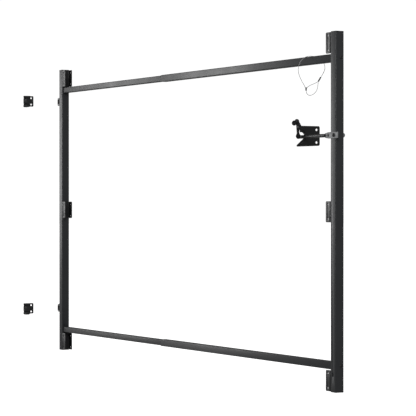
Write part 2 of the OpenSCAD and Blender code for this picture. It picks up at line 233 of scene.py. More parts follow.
def arc(centre: Flat, radius: float, start: float, end: float, steps: int = 8) -> list[Flat]:
    """Lays points along an arc.

    Args:
        centre: the arc's centre.
        radius: its radius.
        start: the first point's angle in degrees.
        end: the last point's angle in degrees; less than start turns clockwise.
        steps: the number of equal steps.

    Returns:
        The points, first and last included.
    """
    turns = [math.radians(start + (end - start) * step / steps) for step in range(steps + 1)]
    return [(centre[0] + radius * math.cos(turn), centre[1] + radius * math.sin(turn)) for turn in turns]


def dome(base: float, rise: float, radius: float, steps: int = 8, closing: float = 1.0) -> list[Flat]:
    """Profiles a domed head from its rim to its top, as (distance, radius) pairs.

    Args:
        base: the rim's distance along the axis.
        rise: how far the top stands beyond the rim.
        radius: the rim's radius.
        steps: the number of steps up the dome.
        closing: the part of a quarter turn that the dome makes; below 1 it ends in a flat top.

    Returns:
        The profile's points.
    """
    turns = [math.radians(90 * step / steps) for step in range(steps + 1)]
    return [(base + rise * math.sin(turn), radius * math.cos(turn * closing)) for turn in turns]


def scaled(points: Sequence[Flat]) -> list[Flat]:
    """Turns flat points from millimetres into metres."""
    return [(x * MM, y * MM) for x, y in points]


def moved(points: Sequence[Flat], by: Flat) -> list[Flat]:
    """Moves flat points by an offset."""
    return [(x + by[0], y + by[1]) for x, y in points]


class Bench:
    """Shapes meshes with Blender's own operators, as by hand."""

    @staticmethod
    def only(*pieces: Piece) -> None:
        """Selects these pieces and nothing else, and makes the first one active."""
        bpy.ops.object.select_all(action="DESELECT")
        for piece in pieces:
            piece.select_set(True)
        bpy.context.view_layer.objects.active = pieces[0]

    @staticmethod
    @contextmanager
    def editing(piece: Piece) -> Iterator[None]:
        """Opens a piece in edit mode with nothing selected, and closes it again."""
        Bench.only(piece)
        bpy.ops.object.mode_set(mode="EDIT")
        bpy.ops.mesh.select_all(action="DESELECT")
        try:
            yield
        finally:
            bpy.ops.object.mode_set(mode="OBJECT")

    @staticmethod
    def pick_faces(piece: Piece, wanted: Callable[[bmesh.types.BMFace], bool]) -> None:
        """Selects the faces of the piece in edit mode that pass a test, and no others."""
        bpy.ops.mesh.select_mode(type="FACE")
        mesh = bmesh.from_edit_mesh(piece.data)
        for face in mesh.faces:
            face.select_set(wanted(face))
        mesh.select_flush_mode()
        bmesh.update_edit_mesh(piece.data)

    @staticmethod
    def pick_edges(piece: Piece, wanted: Callable[[bmesh.types.BMEdge], bool]) -> None:
        """Selects the edges of the piece in edit mode that pass a test, and no others."""
        bpy.ops.mesh.select_mode(type="EDGE")
        mesh = bmesh.from_edit_mesh(piece.data)
        for edge in mesh.edges:
            edge.select_set(wanted(edge))
        mesh.select_flush_mode()
        bmesh.update_edit_mesh(piece.data)

    @staticmethod
    def settle(name: str) -> Piece:
        """Names the new active piece and moves its place, turn and size into its mesh."""
        piece = bpy.context.active_object
        piece.name = name
        piece.data.name = name
        Bench.only(piece)
        bpy.ops.object.transform_apply(location=True, rotation=True, scale=True)
        return piece

    @staticmethod
    def block(name: str, low: Vector, high: Vector) -> Piece:
        """Adds a box between two corners."""
        bpy.ops.object.select_all(action="DESELECT")
        bpy.ops.mesh.primitive_cube_add(size=1.0, location=(low + high) / 2, scale=high - low)
        return Bench.settle(name)

    @staticmethod
    def rod(name: str, start: Vector, end: Vector, radius: float, sides: int = 32) -> Piece:
        """Adds a cylinder between two points."""
        run = end - start
        bpy.ops.object.select_all(action="DESELECT")
        bpy.ops.mesh.primitive_cylinder_add(
            vertices=sides, radius=radius, depth=run.length, location=(start + end) / 2,
            rotation=run.to_track_quat("Z", "Y").to_euler())
        return Bench.settle(name)

    @staticmethod
    def plate(name: str, plane: Plane, outline: Sequence[Flat], start: float, end: float) -> Piece:
        """Fills a flat outline and extrudes it into a plate.

        Args:
            name: the piece's name.
            plane: the plane that the outline lies in.
            outline: its points in order, in metres.
            start: where the plate begins along the plane's normal.
            end: where it ends.

        Returns:
            The closed plate.
        """
        bpy.ops.object.select_all(action="DESELECT")
        bpy.ops.mesh.primitive_circle_add(vertices=len(outline), radius=1.0, fill_type="NGON")
        piece = Bench.settle(name)
        for vertex, flat in zip(piece.data.vertices, outline):
            vertex.co = plane.point(flat, start)
        with Bench.editing(piece):
            bpy.ops.mesh.select_all(action="SELECT")
            bpy.ops.mesh.extrude_region_move(
                TRANSFORM_OT_translate={"value": plane.normal * (end - start)})
            bpy.ops.mesh.select_all(action="SELECT")
            bpy.ops.mesh.normals_make_consistent(inside=False)
        return piece

    @staticmethod
    def turned(name: str, profile: Sequence[Flat], start: Vector, along: Vector,
               sides: int = 32) -> Piece:
        """Turns a profile round an axis, as on a lathe.

        Args:
            name: the piece's name.
            profile: (distance along the axis, radius) pairs in metres; radius 0 closes an end.
            start: the point on the axis at distance 0.
            along: the axis, one unit long.
            sides: the number of steps round the axis.

        Returns:
            The closed piece.
        """
        side = along.orthogonal().normalized()
        points = [start + along * distance + side * radius for distance, radius in profile]
        bpy.ops.object.select_all(action="DESELECT")
        bpy.ops.mesh.primitive_circle_add(vertices=max(3, len(points)), radius=1.0)
        piece = Bench.settle(name)
        shape = bmesh.new()
        ring = [shape.verts.new(point) for point in points]
        for first, second in zip(ring, ring[1:]):
            shape.edges.new((first, second))
        shape.to_mesh(piece.data)
        shape.free()
        with Bench.editing(piece):
            bpy.ops.mesh.select_all(action="SELECT")
            bpy.ops.mesh.spin(steps=sides, angle=math.tau, center=start, axis=along)
            bpy.ops.mesh.select_all(action="SELECT")
            bpy.ops.mesh.remove_doubles(threshold=1e-6)
            bpy.ops.mesh.normals_make_consistent(inside=False)
        return piece

    @staticmethod
    def modify(piece: Piece, kind: str, **settings: object) -> Piece:
        """Adds a modifier with these settings and applies it."""
        modifier = piece.modifiers.new(kind.lower(), kind)
        for key, value in settings.items():
            setattr(modifier, key, value)
        Bench.only(piece)
        bpy.ops.object.modifier_apply(modifier=modifier.name)
        return piece

    @staticmethod
    def combine(piece: Piece, operation: str, *others: Piece) -> Piece:
        """Cuts, adds or crosses a piece with others, which are used up."""
        for other in others:
            Bench.modify(piece, "BOOLEAN", operation=operation, object=other, solver="EXACT")
            bpy.data.objects.remove(other)
        return piece

    @staticmethod
    def round_edges(piece: Piece, width: float, segments: int = 2, angle: float = 40.0) -> Piece:
        """Rounds the sharp edges, as paint and rolling do, and smooths the rest.

        Args:
            piece: the piece.
            width: the rounding's width in metres.
            segments: the number of steps across it.
            angle: the least bend in degrees that counts as sharp.

        Returns:
            The same piece.
        """
        if width > 0:
            Bench.modify(
                piece, "BEVEL", width=width, segments=segments, limit_method="ANGLE",
                angle_limit=math.radians(angle), use_clamp_overlap=False)
        Bench.only(piece)
        bpy.ops.object.shade_smooth_by_angle(angle=math.radians(angle - 5))
        return piece

    @staticmethod
    def join(name: str, pieces: Sequence[Piece]) -> Piece:
        """Joins pieces into one mesh."""
        Bench.only(*pieces)
        if len(pieces) > 1:
            bpy.ops.object.join()
        joined = bpy.context.active_object
        joined.name = name
        joined.data.name = name
        return joined


class Effects:
    """Shader node groups that several finishes share. Each gives masks or heights, never a shader."""

    @staticmethod
    def group(name: str, inputs: dict[str, float], output: str) -> tuple[bpy.types.NodeTree, bool]:
        """Fetches a node group, or starts it.

        Args:
            name: the group's name.
            inputs: its number inputs and their defaults.
            output: its one output.

        Returns:
            The group, and whether it still has to be filled.
        """
        known = bpy.data.node_groups.get(name)
        if known:
            return known, False
        tree = bpy.data.node_groups.new(name, "ShaderNodeTree")
        for label, default in inputs.items():
            socket = tree.interface.new_socket(label, in_out="INPUT", socket_type="NodeSocketFloat")
            socket.default_value = default
        tree.interface.new_socket(output, in_out="OUTPUT", socket_type="NodeSocketFloat")
        return tree, True

    @staticmethod
    def edge_rub_and_highlight() -> bpy.types.NodeTree:
        """A mask that is 1 on outer edges, broken up by noise: scuffed paint on most finishes, a painted highlight on
        the latch's edges.
        """
        tree, fresh = Effects.group("edge_rub_and_highlight", {"Reach": 0.0012, "Patchiness": 60.0}, "Mask")
        if not fresh:
            return tree
        wire = Wiring(tree)
        entry, leave = wire.add("NodeGroupInput"), wire.add("NodeGroupOutput")
        bevel = wire.add("ShaderNodeBevel", samples=4)
        shape = wire.add("ShaderNodeNewGeometry")
        place = wire.add("ShaderNodeTexCoord")
        patches = wire.add("ShaderNodeTexNoise", Detail=4.0, Roughness=0.7)
        wire.link(entry, "Reach", bevel, "Radius")
        wire.link(entry, "Patchiness", patches, "Scale")
        wire.link(place, "Object", patches, "Vector")
        likeness = wire.add("ShaderNodeVectorMath", operation="DOT_PRODUCT")
        wire.link(bevel, "Normal", likeness, 0)
        wire.link(shape, "Normal", likeness, 1)
        edge = wire.spread(likeness, "Value", (0.995, 0.88), (0.0, 1.0))
        patch = wire.spread(patches, "Fac", (0.48, 0.62), (0.0, 1.0))
        wire.link(wire.multiply(edge, patch), 0, leave, "Mask")
        return tree

    @staticmethod
    def dust() -> bpy.types.NodeTree:
        """A mask that is strongest on faces that look up, with soft patches."""
        tree, fresh = Effects.group("settled_dust", {"Amount": 0.25}, "Mask")
        if not fresh:
            return tree
        wire = Wiring(tree)
        entry, leave = wire.add("NodeGroupInput"), wire.add("NodeGroupOutput")
        shape = wire.add("ShaderNodeNewGeometry")
        parts = wire.add("ShaderNodeSeparateXYZ")
        place = wire.add("ShaderNodeTexCoord")
        patches = wire.add("ShaderNodeTexNoise", Scale=14.0, Detail=5.0, Roughness=0.6)
        wire.link(place, "Object", patches, "Vector")
        wire.link(shape, "Normal", parts, 0)
        up = wire.spread(parts, "Z", (0.3, 1.0), (0.0, 1.0))
        patch = wire.spread(patches, "Fac", (0.35, 0.75), (0.2, 1.0))
        mask = wire.multiply(up, patch)
        amount = wire.add("ShaderNodeMath", operation="MULTIPLY")
        wire.link(mask, 0, amount, 0)
        wire.link(entry, "Amount", amount, 1)
        wire.link(amount, 0, leave, "Mask")
        return tree

    @staticmethod
    def skin() -> bpy.types.NodeTree:
        """The height of a sprayed or moulded skin: fine pimples over slow waves."""
        tree, fresh = Effects.group("skin_height", {"Grain": 900.0, "Waves": 120.0}, "Height")
        if not fresh:
            return tree
        wire = Wiring(tree)
        entry, leave = wire.add("NodeGroupInput"), wire.add("NodeGroupOutput")
        place = wire.add("ShaderNodeTexCoord")
        fine = wire.add("ShaderNodeTexNoise", Detail=2.0, Roughness=0.5)
        slow = wire.add("ShaderNodeTexNoise", Detail=3.0, Roughness=0.5)
        wire.link(place, "Object", fine, "Vector")
        wire.link(place, "Object", slow, "Vector")
        wire.link(entry, "Grain", fine, "Scale")
        wire.link(entry, "Waves", slow, "Scale")
        total = wire.add("ShaderNodeMath", operation="ADD")
        wire.link(fine, "Fac", total, 0)
        wire.link(slow, "Fac", total, 1)
        wire.link(total, 0, leave, "Height")
        return tree

    @staticmethod
    def blotches() -> bpy.types.NodeTree:
        """A value from 0 to 1 that drifts over the surface, in cloudy patches."""
        tree, fresh = Effects.group("blotches", {"Size": 6.0}, "Value")
        if not fresh:
            return tree
        wire = Wiring(tree)
        entry, leave = wire.add("NodeGroupInput"), wire.add("NodeGroupOutput")
        place = wire.add("ShaderNodeTexCoord")
        broad = wire.add("ShaderNodeTexNoise", Detail=6.0, Roughness=0.65, Distortion=0.6)
        wire.link(place, "Object", broad, "Vector")
        wire.link(entry, "Size", broad, "Scale")
        value = wire.spread(broad, "Fac", (0.3, 0.7), (0.0, 1.0))
        wire.link(value, 0, leave, "Value")
        return tree


class Wiring:
    """Adds nodes to a tree and links them by socket name or number."""

    def __init__(self, tree: bpy.types.NodeTree) -> None:
        """Works on this tree."""
        self.tree = tree

    def add(self, kind: str, **settings: object) -> bpy.types.Node:
        """Adds a node. A setting is one of its own properties or the default of an input socket."""
        node = self.tree.nodes.new(kind)
        for key, value in settings.items():
            if hasattr(node, key):
                setattr(node, key, value)
            else:
                node.inputs[key.replace("_", " ")].default_value = value
        return node

    def effect(self, tree: bpy.types.NodeTree, **settings: float) -> bpy.types.Node:
        """Adds a shared effect with these inputs."""
        node = self.tree.nodes.new("ShaderNodeGroup")
        node.node_tree = tree
        for key, value in settings.items():
            node.inputs[key].default_value = value
        return node

    def link(self, source: bpy.types.Node, out: str | int, target: bpy.types.Node,
             into: str | int) -> None:
        """Links an output to an input."""
        self.tree.links.new(source.outputs[out], target.inputs[into])

    def spread(self, source: bpy.types.Node, out: str | int, reads: Flat, gives: Flat) -> bpy.types.Node:
        """Maps a range of a value onto another, held at its ends."""
        node = self.add("ShaderNodeMapRange")
        for socket, value in zip(range(1, 5), (*reads, *gives)):
            node.inputs[socket].default_value = value
        self.link(source, out, node, 0)
        return node

    def multiply(self, first: bpy.types.Node, second: bpy.types.Node) -> bpy.types.Node:
        """Multiplies the first outputs of two nodes."""
        node = self.add("ShaderNodeMath", operation="MULTIPLY")
        self.link(first, 0, node, 0)
        self.link(second, 0, node, 1)
        return node

    def mix(self, base: tuple[float, float, float], over: tuple[float, float, float],
            mask: bpy.types.Node) -> bpy.types.Node:
        """Mixes two colours by a mask."""
        node = self.add("ShaderNodeMix", data_type="RGBA")
        node.inputs[6].default_value = (*base, 1.0)
        node.inputs[7].default_value = (*over, 1.0)
        self.link(mask, 0, node, 0)
        return node


Colour = tuple[float, float, float]


@dataclass(frozen=True)
class Finish:
    """What every finish has: a name and the record's slot for it."""

    name: str
    slot: str

    def fill(self, wire: Wiring, shader: bpy.types.Node) -> None:
        """Adds the finish's own nodes in front of the shader."""
        raise NotImplementedError

    def material(self) -> bpy.types.Material:
        """Fetches the finish's material, or makes it."""
        known = bpy.data.materials.get(self.name)
        if known:
            return known
        material = bpy.data.materials.new(self.name)
        material.use_nodes = True
        self.fill(Wiring(material.node_tree), material.node_tree.nodes["Principled BSDF"])
        return material

    def dress(self, piece: Piece) -> None:
        """Gives the whole piece this finish."""
        piece.data.materials.clear()
        piece.data.materials.append(self.material())
        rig.slot(piece, self.slot)


@dataclass(frozen=True)
class PowderCoat(Finish):
    """A dark coat with a fine skin, lighter at its edges and a little dusty on top. The lighter edges are scuffed
    paint, and on the latch a painted highlight.
    """

    colour: Colour = (0.030, 0.032, 0.035)
    # Colour of the outer edges: scuffed paint, and on the latch a painted highlight.
    rubbed_and_highlit: Colour = (0.075, 0.077, 0.080)
    dusty: Colour = (0.10, 0.098, 0.092)
    roughness: float = 0.40
    peel: float = 0.10
    rub_and_highlight_share: float = 0.55

    def fill(self, wire: Wiring, shader: bpy.types.Node) -> None:
        """Paint, lighter edges (scuffed paint, and on the latch a painted highlight), dust and skin."""
        blotch = wire.effect(Effects.blotches(), Size=5.0)
        shade = tuple(channel * 0.80 for channel in self.colour)
        paint = wire.mix(shade, self.colour, blotch)
        # Lighter outer edges: scuffed paint, and on the latch a painted highlight.
        rubbed_and_highlit_mask = wire.effect(Effects.edge_rub_and_highlight())
        rubbed_and_highlit_part = wire.spread(rubbed_and_highlit_mask, "Mask", (0.0, 1.0), (0.0, self.rub_and_highlight_share))
        rubbed_and_highlit = wire.mix((0, 0, 0), self.rubbed_and_highlit, rubbed_and_highlit_part)
        wire.link(paint, 2, rubbed_and_highlit, 6)
        dust = wire.effect(Effects.dust(), Amount=0.30)
        dusted = wire.mix((0, 0, 0), self.dusty, dust)
        wire.link(rubbed_and_highlit, 2, dusted, 6)
        wire.link(dusted, 2, shader, "Base Color")
        sheen = wire.spread(blotch, "Value", (0.0, 1.0), (self.roughness - 0.05, self.roughness + 0.06))
        wire.link(sheen, 0, shader, "Roughness")
        skin = wire.effect(Effects.skin(), Grain=1100.0, Waves=260.0)
        bump = wire.add("ShaderNodeBump", Strength=self.peel, Distance=0.0004)
        wire.link(skin, "Height", bump, "Height")
        wire.link(bump, "Normal", shader, "Normal")
        shader.inputs["IOR"].default_value = 1.5


@dataclass(frozen=True)
class PlatedSteel(Finish):
    """Zinc or plain steel: metal with cloudy patches and fine scratches."""

    colour: Colour = (0.50, 0.51, 0.52)
    cloud: Colour = (0.34, 0.35, 0.36)
    roughness: float = 0.42
    metallic: float = 0.9

    def fill(self, wire: Wiring, shader: bpy.types.Node) -> None:
        """Clouded plate with scratches."""
        cloud = wire.effect(Effects.blotches(), Size=70.0)
        tone = wire.mix(self.cloud, self.colour, cloud)
        wire.link(tone, 2, shader, "Base Color")
        sheen = wire.spread(cloud, "Value", (0.0, 1.0), (self.roughness + 0.12, self.roughness - 0.06))
        wire.link(sheen, 0, shader, "Roughness")
        place = wire.add("ShaderNodeTexCoord")
        stretch = wire.add("ShaderNodeMapping")
        stretch.inputs["Scale"].default_value = (40.0, 900.0, 900.0)
        wire.link(place, "Object", stretch, "Vector")
        scratches = wire.add("ShaderNodeTexNoise", Scale=1.0, Detail=3.0)
        wire.link(stretch, "Vector", scratches, "Vector")
        bump = wire.add("ShaderNodeBump", Strength=0.12, Distance=0.0002)
        wire.link(scratches, "Fac", bump, "Height")
        wire.link(bump, "Normal", shader, "Normal")
        shader.inputs["Metallic"].default_value = self.metallic


@dataclass(frozen=True)
class MouldedPlastic(Finish):
    """Matt plastic with a sparkled mould grain."""

    colour: Colour = (0.014, 0.014, 0.015)
    roughness: float = 0.62

    def fill(self, wire: Wiring, shader: bpy.types.Node) -> None:
        """Grained plastic with a little dust."""
        dust = wire.effect(Effects.dust(), Amount=0.35)
        tone = wire.mix(self.colour, (0.09, 0.088, 0.082), dust)
        wire.link(tone, 2, shader, "Base Color")
        shader.inputs["Roughness"].default_value = self.roughness
        skin = wire.effect(Effects.skin(), Grain=2200.0, Waves=900.0)
        bump = wire.add("ShaderNodeBump", Strength=0.25, Distance=0.0003)
        wire.link(skin, "Height", bump, "Height")
        wire.link(bump, "Normal", shader, "Normal")


@dataclass(frozen=True)
class StrandedWire(Finish):
    """Galvanised wires, darker between the strands."""

    colour: Colour = (0.50, 0.50, 0.51)
    groove: Colour = (0.30, 0.30, 0.305)

    def fill(self, wire: Wiring, shader: bpy.types.Node) -> None:
        """Bright crowns and darker grooves, read from the rope mesh's crown attribute."""
        crown = wire.add("ShaderNodeAttribute", attribute_name="crown")
        lift = wire.spread(crown, "Fac", (0.15, 0.8), (0.0, 1.0))
        tone = wire.mix(self.groove, self.colour, lift)
        wire.link(tone, 2, shader, "Base Color")
        sheen = wire.spread(crown, "Fac", (0.0, 1.0), (0.62, 0.5))
        wire.link(sheen, 0, shader, "Roughness")
        shader.inputs["Metallic"].default_value = 0.45


class Palette:
    """The finishes of the whole gate."""

    FRAME = PowderCoat("frame_powder_coat", "frame_paint")
    BRACKET = PowderCoat("bracket_powder_coat", "bracket_paint", colour=(0.011, 0.012, 0.013), rub_and_highlight_share=0.7)
    HINGE = PowderCoat("hinge_powder_coat", "hinge_paint", colour=(0.022, 0.023, 0.025), rub_and_highlight_share=0.8)
    # The latch's light edge colour is a painted highlight on its rounded edges.
    LATCH = PowderCoat(
        "latch_gloss_black", "latch_paint", colour=(0.008, 0.008, 0.009), rubbed_and_highlit=(0.17, 0.17, 0.175),
        roughness=0.30, peel=0.06)
    OXIDE = PowderCoat(
        "black_oxide", "bolt_black", colour=(0.010, 0.010, 0.011), rubbed_and_highlit=(0.12, 0.12, 0.12),
        roughness=0.38, peel=0.03, rub_and_highlight_share=0.8)
    FERRULE = PowderCoat(
        "dark_sleeve", "ferrule_dark", colour=(0.11, 0.11, 0.112), rubbed_and_highlit=(0.2, 0.2, 0.2),
        roughness=0.42, peel=0.04, rub_and_highlight_share=0.8)
    ZINC = PlatedSteel(
        "zinc_plate", "zinc_strap", colour=(0.34, 0.345, 0.35), cloud=(0.23, 0.233, 0.238), roughness=0.5)
    STEEL = PlatedSteel("plain_steel", "plain_steel", colour=(0.36, 0.37, 0.38), cloud=(0.22, 0.22, 0.23))
    # Light grey steel for the ear arms; part of that lightness is a painted highlight for the light that their thin
    # ends catch.
    EAR = PlatedSteel(
        "ear_steel", "plain_steel", colour=(0.44, 0.445, 0.45), cloud=(0.36, 0.363, 0.368), roughness=0.55,
        metallic=0.3)
    CAP = MouldedPlastic("cap_plastic", "cap_plastic")
    WIRE = StrandedWire("galvanised_rope", "wire_rope")


def finish_piece(piece: Piece, finish: Finish, body: str, *nodes: str) -> Piece:
    """Dresses a piece, puts it on its body and lets it stand for its CAD nodes.

    Args:
        piece: the finished mesh.
        finish: its finish.
        body: the CAD body that it moves with.
        nodes: the CAD nodes that it replaces.

    Returns:
        The same piece.
    """
    finish.dress(piece)
    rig.ride(piece, body)
    if nodes:
        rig.replaces(piece, *nodes)
    LOG.info("%s: %d faces on %s", piece.name, len(piece.data.polygons), body)
    return piece


def corners(node: str) -> tuple[Vector, Vector]:
    """Gives the lowest and highest corner of a CAD node."""
    low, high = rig.box(node)
    return Vector(low), Vector(high)


@dataclass
class SquareTube:
    """A square tube with rolled corners, along X or Z, at its CAD node's place."""

    node: str
    body: str
    wall: float
    along: int
    corner: float = 3.0 * MM
    edge: float = 0.25 * MM

    def shape(self) -> Piece:
        """Makes the hollow tube: long edges rolled, ends inset and bridged through."""
        low, high = corners(self.node)
        tube = Bench.block(f"{self.node}_tube", low, high)
        with Bench.editing(tube):
            Bench.pick_edges(tube, lambda edge: self.is_long(edge))
            bpy.ops.mesh.bevel(offset=self.corner, segments=6, affect="EDGES")
            Bench.pick_faces(tube, lambda face: abs(face.normal[self.along]) > ALIGNED)
            bpy.ops.mesh.inset(thickness=self.wall)
            bpy.ops.mesh.delete(type="FACE")
            Bench.pick_edges(tube, lambda edge: edge.is_boundary)
            bpy.ops.mesh.bridge_edge_loops()
            bpy.ops.mesh.select_all(action="SELECT")
            bpy.ops.mesh.normals_make_consistent(inside=False)
        return tube

    def is_long(self, edge: bmesh.types.BMEdge) -> bool:
        """Tells whether an edge runs along the tube."""
        run = edge.verts[1].co - edge.verts[0].co
        return abs(run.normalized()[self.along]) > ALIGNED

    def build(self, cutters: Sequence[Piece] = ()) -> Piece:
        """Makes, cuts, dresses and places the tube."""
        tube = Bench.combine(self.shape(), "DIFFERENCE", *cutters)
        Bench.round_edges(tube, self.edge, 2, 50)
        return finish_piece(tube, Palette.FRAME, self.body, self.node)


@dataclass
class Frame:
    """The two stiles, the caps that close them and the telescoping rails."""

    stile_wall: float = 2.0 * MM
    rail_wall: float = 1.5 * MM
    cap_cover: float = 2.0 * MM
    cap_corner: float = 3.0 * MM
    cap_edge: float = 0.5 * MM
    cap_play: float = 0.1 * MM
    dish_rim: float = 3.2 * MM
    dish_depth: float = 0.5 * MM
    slot_place: float = 16.5 * MM
    slot_rise: float = 64.0 * MM
    slot_radius: float = 3.5 * MM
    slot_step: float = 9.0 * MM

    def build(self) -> None:
        """Builds every piece of the frame."""
        SquareTube("hinge_stile", "hinge_side", self.stile_wall, 2).build()
        SquareTube("latch_stile", "latch_side", self.stile_wall, 2).build([self.foot_slot()])
        for level in ("top", "bottom"):
            SquareTube(f"inner_rail_{level}", "hinge_side", self.rail_wall, 0).build()
            SquareTube(f"outer_rail_{level}", "latch_side", self.rail_wall, 0).build()
            self.cap(f"hinge_cap_{level}", "hinge_side", level == "top")
            self.cap(f"latch_cap_{level}", "latch_side", level == "top")

    def foot_slot(self) -> Piece:
        """Makes the cutter of the round-ended slot near the latch stile's foot."""
        low, _ = corners("latch_stile")
        ground = corners("latch_cap_bottom")[0].z
        centre = (low.x + self.slot_place, ground + self.slot_rise)
        ends = [(centre[0], centre[1] + side * self.slot_step / 2) for side in (1, -1)]
        outline = arc(ends[0], self.slot_radius, 0, 180, 12)
        outline += arc(ends[1], self.slot_radius, 180, 360, 12)
        return Bench.plate("slot_cutter", Plane.XZ, outline, low.y - MM, low.y + 2 * self.stile_wall)

    def cap(self, node: str, body: str, upper: bool) -> Piece:
        """Makes a cap: a dished cover over the tube's end, and a grip inside the tube."""
        low, high = corners(node)
        depth = high.z - low.z - self.cap_cover
        outside = 1.0 if upper else -1.0
        if upper:
            low.z = high.z - self.cap_cover
        else:
            high.z = low.z + self.cap_cover
        cap = Bench.block(f"{node}_cover", low, high)
        with Bench.editing(cap):
            Bench.pick_edges(cap, self.is_upright)
            bpy.ops.mesh.bevel(offset=self.cap_corner, segments=6, affect="EDGES")
            Bench.pick_faces(cap, lambda face: face.normal.z * outside > ALIGNED)
            bpy.ops.mesh.inset(thickness=self.dish_rim)
            bpy.ops.mesh.inset(thickness=self.dish_depth, depth=-self.dish_depth)
            Bench.pick_faces(cap, lambda face: face.normal.z * outside < -ALIGNED)
            bpy.ops.mesh.inset(thickness=self.stile_wall + self.cap_play)
            bpy.ops.mesh.extrude_region_move(TRANSFORM_OT_translate={"value": (0, 0, -outside * depth)})
        Bench.round_edges(cap, self.cap_edge, 3, 50)
        return finish_piece(cap, Palette.CAP, body, node)

    @staticmethod
    def is_upright(edge: bmesh.types.BMEdge) -> bool:
        """Tells whether an edge runs up and down."""
        run = edge.verts[1].co - edge.verts[0].co
        return abs(run.normalized().z) > ALIGNED


@dataclass
class ChannelBrackets:
    """The six channel brackets that hold the ends of wooden rails. Sizes are in millimetres."""

    thickness: float = 2.5
    bend: float = 1.5
    reach: float = 33.0
    corner: float = 5.0
    hole_radius: float = 3.2
    hole_inset: float = 15.0
    hole_step: float = 52.0
    punch_reach: float = 50.0
    edge: float = 0.3

    def build(self) -> None:
        """Builds the brackets, three on each stile."""
        for level in ("top", "middle", "bottom"):
            self.bracket(f"hinge_bracket_{level}", "hinge_side", 1.0)
            self.bracket(f"latch_bracket_{level}", "latch_side", -1.0)

    def channel(self, depth: float) -> list[Flat]:
        """Outlines the channel from above, in millimetres, its mouth towards +X."""
        bend_at = self.thickness + self.bend
        far = depth - bend_at
        outer = arc((bend_at, bend_at), bend_at, 270, 180) + arc((bend_at, far), bend_at, 180, 90)
        inner = arc((bend_at, far), self.bend, 90, 180) + arc((bend_at, bend_at), self.bend, 180, 270)
        back_tip = [(self.reach, depth), (self.reach, depth - self.thickness)]
        front_tip = [(self.reach, self.thickness), (self.reach, 0.0)]
        return outer + back_tip + inner + front_tip

    def bracket(self, node: str, body: str, mouth: float) -> Piece:
        """Makes one bracket, with its free corners rounded and its four holes punched."""
        low, high = corners(node)
        root = Vector((low.x if mouth > 0 else high.x, low.y, (low.z + high.z) / 2))
        plan = [(x * mouth, y) for x, y in self.channel((high.y - low.y) / MM)]
        placed = moved(scaled(plan), (root.x, root.y))
        sheet = Bench.plate(node + "_channel", Plane.XY, placed, low.z, high.z)
        tip = root.x + mouth * self.reach * MM
        with Bench.editing(sheet):
            Bench.pick_edges(sheet, lambda edge: self.is_corner(edge, tip))
            bpy.ops.mesh.bevel(offset=self.corner * MM, segments=6, affect="EDGES")
        across = Vector((0, self.punch_reach * MM, 0))
        hole_x = tip - mouth * self.hole_inset * MM
        holes = []
        for end in (-1, 1):
            middle = Vector((hole_x, (low.y + high.y) / 2, root.z + end * self.hole_step / 2 * MM))
            holes.append(Bench.rod("hole", middle - across, middle + across, self.hole_radius * MM))
        Bench.combine(sheet, "DIFFERENCE", *holes)
        Bench.round_edges(sheet, self.edge * MM)
        return finish_piece(sheet, Palette.BRACKET, body, node)

    @staticmethod
    def is_corner(edge: bmesh.types.BMEdge, tip: float) -> bool:
        """Tells whether an edge is a flange's free corner: at the tip, and level along Y."""
        first, second = (vertex.co for vertex in edge.verts)
        at_tip = abs(first.x - tip) < 1e-5 and abs(second.x - tip) < 1e-5
        return at_tip and abs(first.z - second.z) < 1e-6


@dataclass
class Fasteners:
    """Rail bolts and lock screws: a domed head with a hex socket, and a plain shank."""

    sides: int = 40
    rail_head: float = 5.2 * MM
    rail_rise: float = 3.2 * MM
    rail_shank: float = 3.0 * MM
    lock_head: float = 4.5 * MM
    lock_rise: float = 3.0 * MM
    lock_shank: float = 2.5 * MM
    rim_share: float = 0.25
    dome_closing: float = 0.78
    socket_floor: float = 0.4
    socket_share: float = 0.44

    def build(self) -> None:
        """Builds the rail bolts and the width lock screws, and dresses the hidden plugs."""
        self.rail_bolts("rail_bolts_hinge", "hinge_side", -1.0)
        self.rail_bolts("rail_bolts_latch", "latch_side", 1.0)
        self.lock_screws()
        for node in ("rail_plugs_hinge", "rail_plugs_latch"):
            Palette.STEEL.dress(frame["nodes"][node])

    def bolt(self, seat: Vector, out: Vector, head: float, rise: float, shank: float,
             length: float) -> Piece:
        """Makes one bolt.

        Args:
            seat: the middle of the head's underside.
            out: the direction that the head looks in.
            head: the head's radius.
            rise: its height.
            shank: the shank's radius.
            length: the shank's length.

        Returns:
            The bolt.
        """
        rim = rise * self.rim_share
        crown = dome(rim, rise - rim, head, closing=self.dome_closing)
        profile = [(-length, 0.0), (-length, shank), (0.0, shank), (0.0, head), *crown, (rise, 0.0)]
        bolt = Bench.turned("bolt", profile, seat, out, self.sides)
        floor = seat + out * rise * self.socket_floor
        socket = Bench.rod("socket", floor, seat + out * rise * 2, head * self.socket_share, 6)
        return Bench.combine(bolt, "DIFFERENCE", socket)

    def rail_bolts(self, node: str, body: str, side: float) -> Piece:
        """Makes the two bolts on a stile's outer face."""
        low, high = corners(node)
        head, rise = self.rail_head, self.rail_rise
        face = high.x - rise if side > 0 else low.x + rise
        seats = [Vector((face, (low.y + high.y) / 2, z)) for z in (low.z + head, high.z - head)]
        length = high.x - low.x - rise
        out = Vector((side, 0, 0))
        bolts = [self.bolt(seat, out, head, rise, self.rail_shank, length) for seat in seats]
        both = Bench.round_edges(Bench.join(f"{node}_pair", bolts), 0.0)
        return finish_piece(both, Palette.OXIDE, body, node)

    def lock_screws(self) -> Piece:
        """Makes the screws in the back of the outer rails."""
        low, high = corners("width_lock_screws")
        head, rise = self.lock_head, self.lock_rise
        seats = [Vector(((low.x + high.x) / 2, high.y - rise, z)) for z in (low.z + head, high.z - head)]
        length = high.y - low.y - rise
        out = Vector((0, 1, 0))
        screws = [self.bolt(seat, out, head, rise, self.lock_shank, length) for seat in seats]
        both = Bench.round_edges(Bench.join("width_lock_screw_pair", screws), 0.0)
        return finish_piece(both, Palette.OXIDE, "latch_side", "width_lock_screws")


